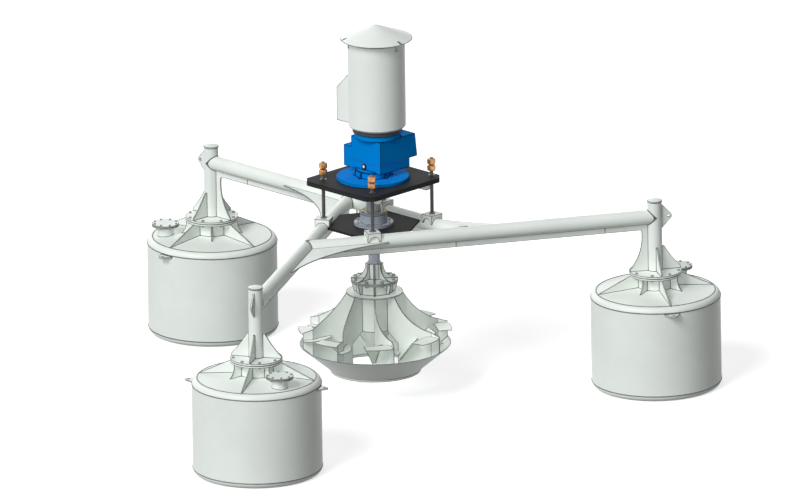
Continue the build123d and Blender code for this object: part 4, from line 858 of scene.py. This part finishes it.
@dataclass
class JackScrews:
    """The four lifting screws: threaded rod, thrust collars and a pair of bronze nuts."""

    count: int = 4
    pitch: float = 6 * MM
    rod_r: float = 18 * MM
    rod_sides: int = 24
    rod_bevel: float = 2 * MM
    thread_depth: float = 3 * MM
    ridge_r: float = 3.48 * MM
    ridge_steps: int = 16
    bare_turns: int = 2
    collar_r: float = 30 * MM
    collar_t: float = 8 * MM
    collar_sides: int = 48
    collar_places: tuple[float, float] = (1474.1 * MM, 1453.9 * MM)
    fine_bevel: float = 1 * MM
    nut_flats: float = 70 * MM
    nut_bevel: float = 15 * MM
    nut_bevel_steps: int = 3
    nut_corner_deg: float = 25
    nut_t: float = 54 * MM
    nut_low: float = 1886 * MM
    nut_gap: float = 8 * MM
    barrel_sides: int = 64
    # The barrel that rounds a nut off is this much wider and taller than the nut.
    barrel_wider: float = 1.002
    barrel_taller: float = 1.001

    def rod(self, axis: Vector, low: float, high: float) -> bpy.types.Object:
        """Make a threaded rod.

        Args:
            axis: Any point on the rod's axis.
            low: Height of the lower end.
            high: Height of the upper end.

        Returns:
            Core and thread as one settled object.
        """
        core_r = self.rod_r - self.thread_depth
        bpy.ops.mesh.primitive_cylinder_add(
            vertices=self.rod_sides, radius=core_r, depth=high - low,
            location=(axis.x, axis.y, (low + high) / 2),
        )
        core = bpy.context.object
        settle(core)
        ease_edges(core, self.rod_bevel)
        # The ridge is wound from a triangle that points outwards.
        bpy.ops.mesh.primitive_circle_add(
            vertices=3, radius=self.ridge_r, rotation=(math.pi / 2, math.pi / 2, 0)
        )
        ridge = bpy.context.object
        settle(ridge)
        edit(
            ridge,
            lambda: bpy.ops.mesh.select_all(action="SELECT"),
            lambda: bpy.ops.transform.translate(value=(self.rod_r - self.ridge_r, 0, 0)),
        )
        turns = int((high - low) / self.pitch) - self.bare_turns
        run_modifier(
            ridge, "SCREW",
            {
                "axis": "Z", "screw_offset": self.pitch, "iterations": turns,
                "steps": self.ridge_steps, "render_steps": self.ridge_steps,
                "use_merge_vertices": False,
            },
        )
        ridge.location = (axis.x, axis.y, low + self.pitch)
        settle(ridge)
        return join([core, ridge])

    def collar(self, axis: Vector, height: float) -> bpy.types.Object:
        """Make one thrust collar.

        Args:
            axis: Any point on the screw's axis.
            height: Height of the collar's middle.

        Returns:
            The settled collar.
        """
        bpy.ops.mesh.primitive_cylinder_add(
            vertices=self.collar_sides, radius=self.collar_r, depth=self.collar_t,
            location=(axis.x, axis.y, height),
        )
        collar = bpy.context.object
        settle(collar)
        ease_edges(collar, self.fine_bevel)
        return collar

    def nut(self, axis: Vector, low: float) -> bpy.types.Object:
        """Make one hexagon nut, bevelled round both ends.

        Args:
            axis: Any point on the nut's axis.
            low: Height of its lower face.

        Returns:
            The settled nut.
        """
        corner_r = self.nut_flats / math.sqrt(3)
        place = (axis.x, axis.y, low + self.nut_t / 2)
        bpy.ops.mesh.primitive_cylinder_add(
            vertices=6, radius=corner_r, depth=self.nut_t, location=place
        )
        nut = bpy.context.object
        settle(nut)
        bpy.ops.mesh.primitive_cylinder_add(
            vertices=self.barrel_sides, radius=corner_r * self.barrel_wider,
            depth=self.nut_t * self.barrel_taller, location=place,
        )
        barrel = bpy.context.object
        settle(barrel)
        ease_edges(barrel, self.nut_bevel, self.nut_bevel_steps)
        run_modifier(
            nut, "BOOLEAN", {"operation": "INTERSECT", "object": barrel, "solver": "EXACT"}
        )
        bpy.data.objects.remove(barrel)
        ease_edges(nut, self.fine_bevel, angle=self.nut_corner_deg)
        return nut

    def build(self) -> None:
        """Make the screws and their nuts."""
        for number in range(1, self.count + 1):
            node = f"jack_screw_{number}"
            low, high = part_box(node)
            axis = middle(node)
            parts = [self.rod(axis, low.z, high.z)]
            parts += [self.collar(axis, height) for height in self.collar_places]
            body = f"screw_{number}"
            hand_over(
                join(parts), f"threaded_rod_{number}", Finish.SCREW_STEEL, body, (node,)
            )
            upper = self.nut_low + self.nut_t + self.nut_gap
            nuts = [self.nut(axis, height) for height in (self.nut_low, upper)]
            hand_over(join(nuts), f"screw_nuts_{number}", Finish.NUT_BRONZE, body)


@dataclass
class SoftenedCopies:
    """Castings and plates whose edges are eased as a foundry or a grinder leaves them."""

    eased: tuple[tuple[str, float, Finish], ...] = (
        ("gearbox_case", 2 * MM, Finish.GEAR_BLUE),
        ("gearbox_base", 2 * MM, Finish.GEAR_BLUE),
        ("drive_plate", 2 * MM, Finish.CHARCOAL_ENAMEL),
        ("guide_plate", 1.5 * MM, Finish.CHARCOAL_ENAMEL),
        ("jack_saddles", 1.5 * MM, Finish.PALE_ENAMEL),
        ("terminal_hood", 1.5 * MM, Finish.SHELL_ENAMEL),
        ("guide_housing", 1.5 * MM, Finish.SLATE_ENAMEL),
    )
    flat_deg: float = 1.5
    sharp_deg: float = 40
    face_weight: int = 100

    def carrier(self, node: str) -> str:
        """Name of the body that carries a node."""
        bodies = frame["record"]["behaviour"]["bodies"]
        return next(body for body, nodes in bodies.items() if node in nodes)

    def build(self) -> None:
        """Ease a copy of each node and let it stand for the node."""
        for node, width, finish in self.eased:
            source = frame["nodes"][node]
            piece = source.copy()
            piece.data = source.data.copy()
            piece.parent = None
            piece.matrix_world = Matrix.Identity(4)
            bpy.context.scene.collection.objects.link(piece)
            edit(
                piece,
                lambda: bpy.ops.mesh.select_all(action="SELECT"),
                lambda: bpy.ops.mesh.remove_doubles(threshold=COPY_MERGE_M),
                lambda: bpy.ops.mesh.dissolve_limited(angle_limit=math.radians(self.flat_deg)),
            )
            ease_edges(piece, width, angle=self.sharp_deg)
            hand_over(piece, f"{node}_eased", finish, self.carrier(node), (node,))
            # Large faces keep their own flat shade, and only the rounding turns the light.
            run_modifier(
                piece, "WEIGHTED_NORMAL", {"keep_sharp": True, "weight": self.face_weight}
            )


@dataclass
class GearboxDress:
    """Joint line and oil sight glass of the gearbox."""

    split_z: float = 2015 * MM
    joint_t: float = 3 * MM
    joint_proud: float = 1.2 * MM
    joint_bevel: float = 1 * MM
    back_x: float = -90 * MM
    front_x: float = 286 * MM
    side_y: float = 192 * MM
    ring_out: float = 16 * MM
    ring_sides: int = 64
    ring_bevel: float = 3 * MM
    ring_bevel_steps: int = 3
    # Shares of the ring's radius.
    rim_share: float = 0.22
    glass_share: float = 0.62
    # Shares of how far the ring stands out.
    recess_share: float = 0.35
    glass_seat: float = 0.62
    glass_cut: float = 0.6
    glass_flat: float = 0.45
    face_normal: float = 0.99

    def joint(self) -> None:
        """Dark sealing line between the lower and the upper half of the case."""
        long_way = self.front_x - self.back_x + 2 * self.joint_proud
        bpy.ops.mesh.primitive_cube_add(
            size=1, location=((self.front_x + self.back_x) / 2, 0, self.split_z),
            scale=(long_way, 2 * (self.side_y + self.joint_proud), self.joint_t),
        )
        line = bpy.context.object
        settle(line)
        ease_edges(line, self.joint_bevel)
        hand_over(line, "case_joint_line", Finish.SEALANT, Body.PLATFORM.value)

    def sight_glass(self) -> None:
        """Black ring with a pale domed glass, where the oil level is read."""
        low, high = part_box("oil_plug")
        centre = middle("oil_plug")
        radius = (high.z - low.z) / 2
        bpy.ops.mesh.primitive_cylinder_add(
            vertices=self.ring_sides, radius=radius, depth=self.ring_out,
            rotation=(0, -math.pi / 2, 0),
            location=(self.back_x - self.ring_out / 2, centre.y, centre.z),
        )
        ring = bpy.context.object
        settle(ring)
        ease_edges(ring, self.ring_bevel, self.ring_bevel_steps)
        pick_faces(ring, lambda place, normal: normal.x < -self.face_normal)
        edit(
            ring,
            lambda: bpy.ops.mesh.inset(thickness=radius * self.rim_share),
            lambda: bpy.ops.mesh.extrude_region_move(
                TRANSFORM_OT_translate={"value": (self.ring_out * self.recess_share, 0, 0)}
            ),
        )
        hand_over(
            ring, "sight_glass_ring", Finish.PLUG_PLASTIC, Body.PLATFORM.value, ("oil_plug",)
        )
        bpy.ops.mesh.primitive_uv_sphere_add(
            segments=32, ring_count=16, radius=radius * self.glass_share,
            location=(self.back_x - self.ring_out * self.glass_seat, centre.y, centre.z),
        )
        glass = bpy.context.object
        glass.scale.x = self.glass_flat
        settle(glass)
        edit(
            glass,
            lambda: bpy.ops.mesh.select_all(action="SELECT"),
            lambda: bpy.ops.mesh.bisect(
                plane_co=(self.back_x - self.ring_out * self.glass_cut, 0, 0),
                plane_no=(1, 0, 0), clear_outer=True, use_fill=True,
            ),
        )
        hand_over(glass, "sight_glass", Finish.SIGHT_GLASS, Body.PLATFORM.value)

    def build(self) -> None:
        """Make the joint line and the sight glass."""
        self.joint()
        self.sight_glass()


@dataclass
class CapTabs:
    """Ends of the cap's straps, folded over its top and held by a screw."""

    headings_deg: tuple[float, ...] = (-90.0, 30.0, 150.0)
    reach: float = 305 * MM
    length: float = 52 * MM
    width: float = 28 * MM
    thickness: float = 4 * MM
    bevel: float = 1.2 * MM
    lift: float = 2.2 * MM
    screw_r: float = 7 * MM
    screw_t: float = 6 * MM
    screw_bevel: float = 1 * MM
    screw_lift: float = 4 * MM

    def build(self) -> None:
        """Make the three tabs with their screw heads."""
        low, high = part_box("rain_cap")
        axis = middle("rain_cap")
        rim_r = (high.x - low.x) / 2
        slope = math.atan2(high.z - low.z, rim_r)
        tabs = []
        for degrees in self.headings_deg:
            way = heading(degrees)
            rise = high.z - self.reach * math.tan(slope)
            up = (way * math.sin(slope) + UP * math.cos(slope)).normalized()
            centre = Vector((axis.x, axis.y, rise)) + way * self.reach + up * self.lift
            down = way * math.cos(slope) - UP * math.sin(slope)
            turn = Matrix((down, up.cross(down), up)).transposed().to_4x4()
            bpy.ops.mesh.primitive_cube_add(
                size=1, scale=(self.length, self.width, self.thickness)
            )
            tab = bpy.context.object
            settle(tab)
            ease_edges(tab, self.bevel)
            tab.matrix_world = Matrix.Translation(centre) @ turn
            settle(tab)
            bpy.ops.mesh.primitive_cylinder_add(
                vertices=6, radius=self.screw_r, depth=self.screw_t
            )
            head = bpy.context.object
            settle(head)
            ease_edges(head, self.screw_bevel)
            head.matrix_world = Matrix.Translation(centre + up * self.screw_lift) @ turn
            settle(head)
            tabs += [tab, head]
        hand_over(join(tabs), "cap_tabs", Finish.SHELL_ENAMEL, Body.PLATFORM.value)


def seen_rays(tree: bpy.types.NodeTree) -> bpy.types.NodeSocket:
    """Tell rays that show a surface to the eye, mirrored or through glass too, from the rest.

    Args:
        tree: Node tree to add to.

    Returns:
        Output that is one for those rays and zero for the others.
    """
    path = add_node(tree, "ShaderNodeLightPath")
    mirrored = add_node(
        tree, "ShaderNodeMath", {"operation": "MAXIMUM"},
        {0: path.outputs["Is Glossy Ray"], 1: path.outputs["Is Transmission Ray"]},
    )
    seen = add_node(
        tree, "ShaderNodeMath", {"operation": "MAXIMUM"},
        {0: path.outputs["Is Camera Ray"], 1: mirrored.outputs["Value"]},
    )
    return seen.outputs["Value"]


@dataclass(frozen=True)
class SunLamp:
    """One distant lamp, placed by where its light comes from."""

    name: str
    turn_deg: float
    height_deg: float
    spread_deg: float
    strength: float
    shadow: bool

    def hang(self) -> None:
        """Make the lamp and turn it."""
        data = bpy.data.lights.new(self.name, "SUN")
        data.energy = self.strength
        data.angle = math.radians(self.spread_deg)
        data.use_shadow = self.shadow
        lamp = bpy.data.objects.new(self.name, data)
        bpy.context.scene.collection.objects.link(lamp)
        tilt = math.radians(self.height_deg)
        source = heading(self.turn_deg) * math.cos(tilt) + UP * math.sin(tilt)
        lamp.rotation_mode = "QUATERNION"
        lamp.rotation_quaternion = source.to_track_quat("Z", "Y")


@dataclass
class Studio:
    """Pale floor, soft lamps and the camera of the picture, which looks down 17 degrees.

    The key lamp stands on the left and a screen beside it fills what it leaves dark. A second
    screen lights the far side. Screens reach behind things, so they cast no shadow.
    """

    right: Vector = Vector((0.7096, -0.7046, 0.0))
    elevation_deg: float = 17.0
    roll_deg: float = 0.757
    aim_height_m: float = 1.515
    aim_right_m: float = 0.239
    aim_up_m: float = -0.357
    width_m: float = 7.384
    distance_m: float = 20.0
    clip_m: float = 200.0
    floor_size_m: float = 120.0
    floor_gap_m: float = 0.001
    # Seen directly the paper is white but for the shadow; as a source of bounced light it is grey.
    paper_seen: str = "#F2F2F2"
    paper_bounce: str = "#8E8E8E"
    paper_glow: float = 0.44
    sky_light: float = 0.21
    sky_seen: float = 1.0
    lamps: tuple[SunLamp, ...] = (
        SunLamp("key_lamp", 190.2, 39.0, 26.0, 1.9, True),
        SunLamp("front_screen", 190.2, 39.0, 26.0, 1.1, False),
        SunLamp("back_screen", 66.0, 4.0, 60.0, 1.2, False),
    )

    def directions(self) -> tuple[Vector, Vector]:
        """Work out the camera's directions before it is rolled.

        Returns:
            Its forward and its up direction.
        """
        low = math.radians(self.elevation_deg)
        away = Vector((-self.right.y, self.right.x, 0.0))
        forward = away * math.cos(low) - UP * math.sin(low)
        return forward, self.right.cross(forward)

    def make_camera(self) -> None:
        """Place a parallel camera on the picture's line of sight."""
        forward, up = self.directions()
        roll = math.radians(self.roll_deg)
        right = self.right * math.cos(roll) - up * math.sin(roll)
        rolled_up = up * math.cos(roll) + self.right * math.sin(roll)
        target = UP * self.aim_height_m
        target += self.right * self.aim_right_m + up * self.aim_up_m
        data = bpy.data.cameras.new("picture_camera")
        data.type = "ORTHO"
        data.ortho_scale = self.width_m
        data.clip_end = self.clip_m
        camera = bpy.data.objects.new("picture_camera", data)
        bpy.context.scene.collection.objects.link(camera)
        turn = Matrix((right, rolled_up, -forward)).transposed().to_4x4()
        camera.matrix_world = Matrix.Translation(target - forward * self.distance_m) @ turn
        bpy.context.scene.camera = camera

    def make_floor(self) -> None:
        """Lay a white floor under the floats."""
        low, _ = CAD_BOX
        bpy.ops.mesh.primitive_plane_add(
            size=self.floor_size_m, location=(0, 0, low.z - self.floor_gap_m)
        )
        floor = bpy.context.object
        floor.name = "studio_floor"
        material, tree = new_material("studio_paper")
        seen = seen_rays(tree)
        tone = add_node(
            tree, "ShaderNodeMix",
            {
                "data_type": "RGBA", "A": linear(self.paper_bounce),
                "B": linear(self.paper_seen),
            },
            {"Factor": seen},
        )
        paper = add_node(tree, "ShaderNodeBsdfDiffuse", {}, {"Color": tone.outputs["Result"]})
        lift = add_node(
            tree, "ShaderNodeMath", {"operation": "MULTIPLY", 1: self.paper_glow}, {0: seen}
        )
        glow = add_node(
            tree, "ShaderNodeEmission", {"Color": (1, 1, 1, 1)},
            {"Strength": lift.outputs["Value"]},
        )
        both = add_node(
            tree, "ShaderNodeAddShader", {},
            {0: paper.outputs["BSDF"], 1: glow.outputs["Emission"]},
        )
        add_node(tree, "ShaderNodeOutputMaterial", {}, {"Surface": both.outputs["Shader"]})
        floor.data.materials.append(material)

    def make_world(self) -> None:
        """Plain white surroundings: bright to the eye, gentler as light."""
        world = bpy.data.worlds.new("studio_world")
        bpy.context.scene.world = world
        world.use_nodes = True
        tree = world.node_tree
        tree.nodes.clear()
        soft, white = (
            add_node(tree, "ShaderNodeBackground", {"Color": (1, 1, 1, 1), "Strength": strength})
            for strength in (self.sky_light, self.sky_seen)
        )
        mix = add_node(
            tree, "ShaderNodeMixShader", {},
            {0: seen_rays(tree), 1: soft.outputs["Background"], 2: white.outputs["Background"]},
        )
        add_node(tree, "ShaderNodeOutputWorld", {}, {"Surface": mix.outputs["Shader"]})

    def build(self) -> None:
        """Set up the floor, the light and the camera."""
        bpy.context.scene.view_settings.view_transform = "Standard"
        self.make_world()
        for lamp in self.lamps:
            lamp.hang()
        self.make_floor()
        self.make_camera()
        LOG.info("studio ready")


def main() -> None:
    """Dress the frame, then set up the studio."""
    logging.basicConfig(level=logging.INFO, format="%(name)s: %(message)s")
    dress_cad_nodes()
    for assembly in (WeldSeams(), JackScrews(), SoftenedCopies(), GearboxDress(), CapTabs()):
        assembly.build()
    Studio().build()


if __name__ == "__main__":
    main()
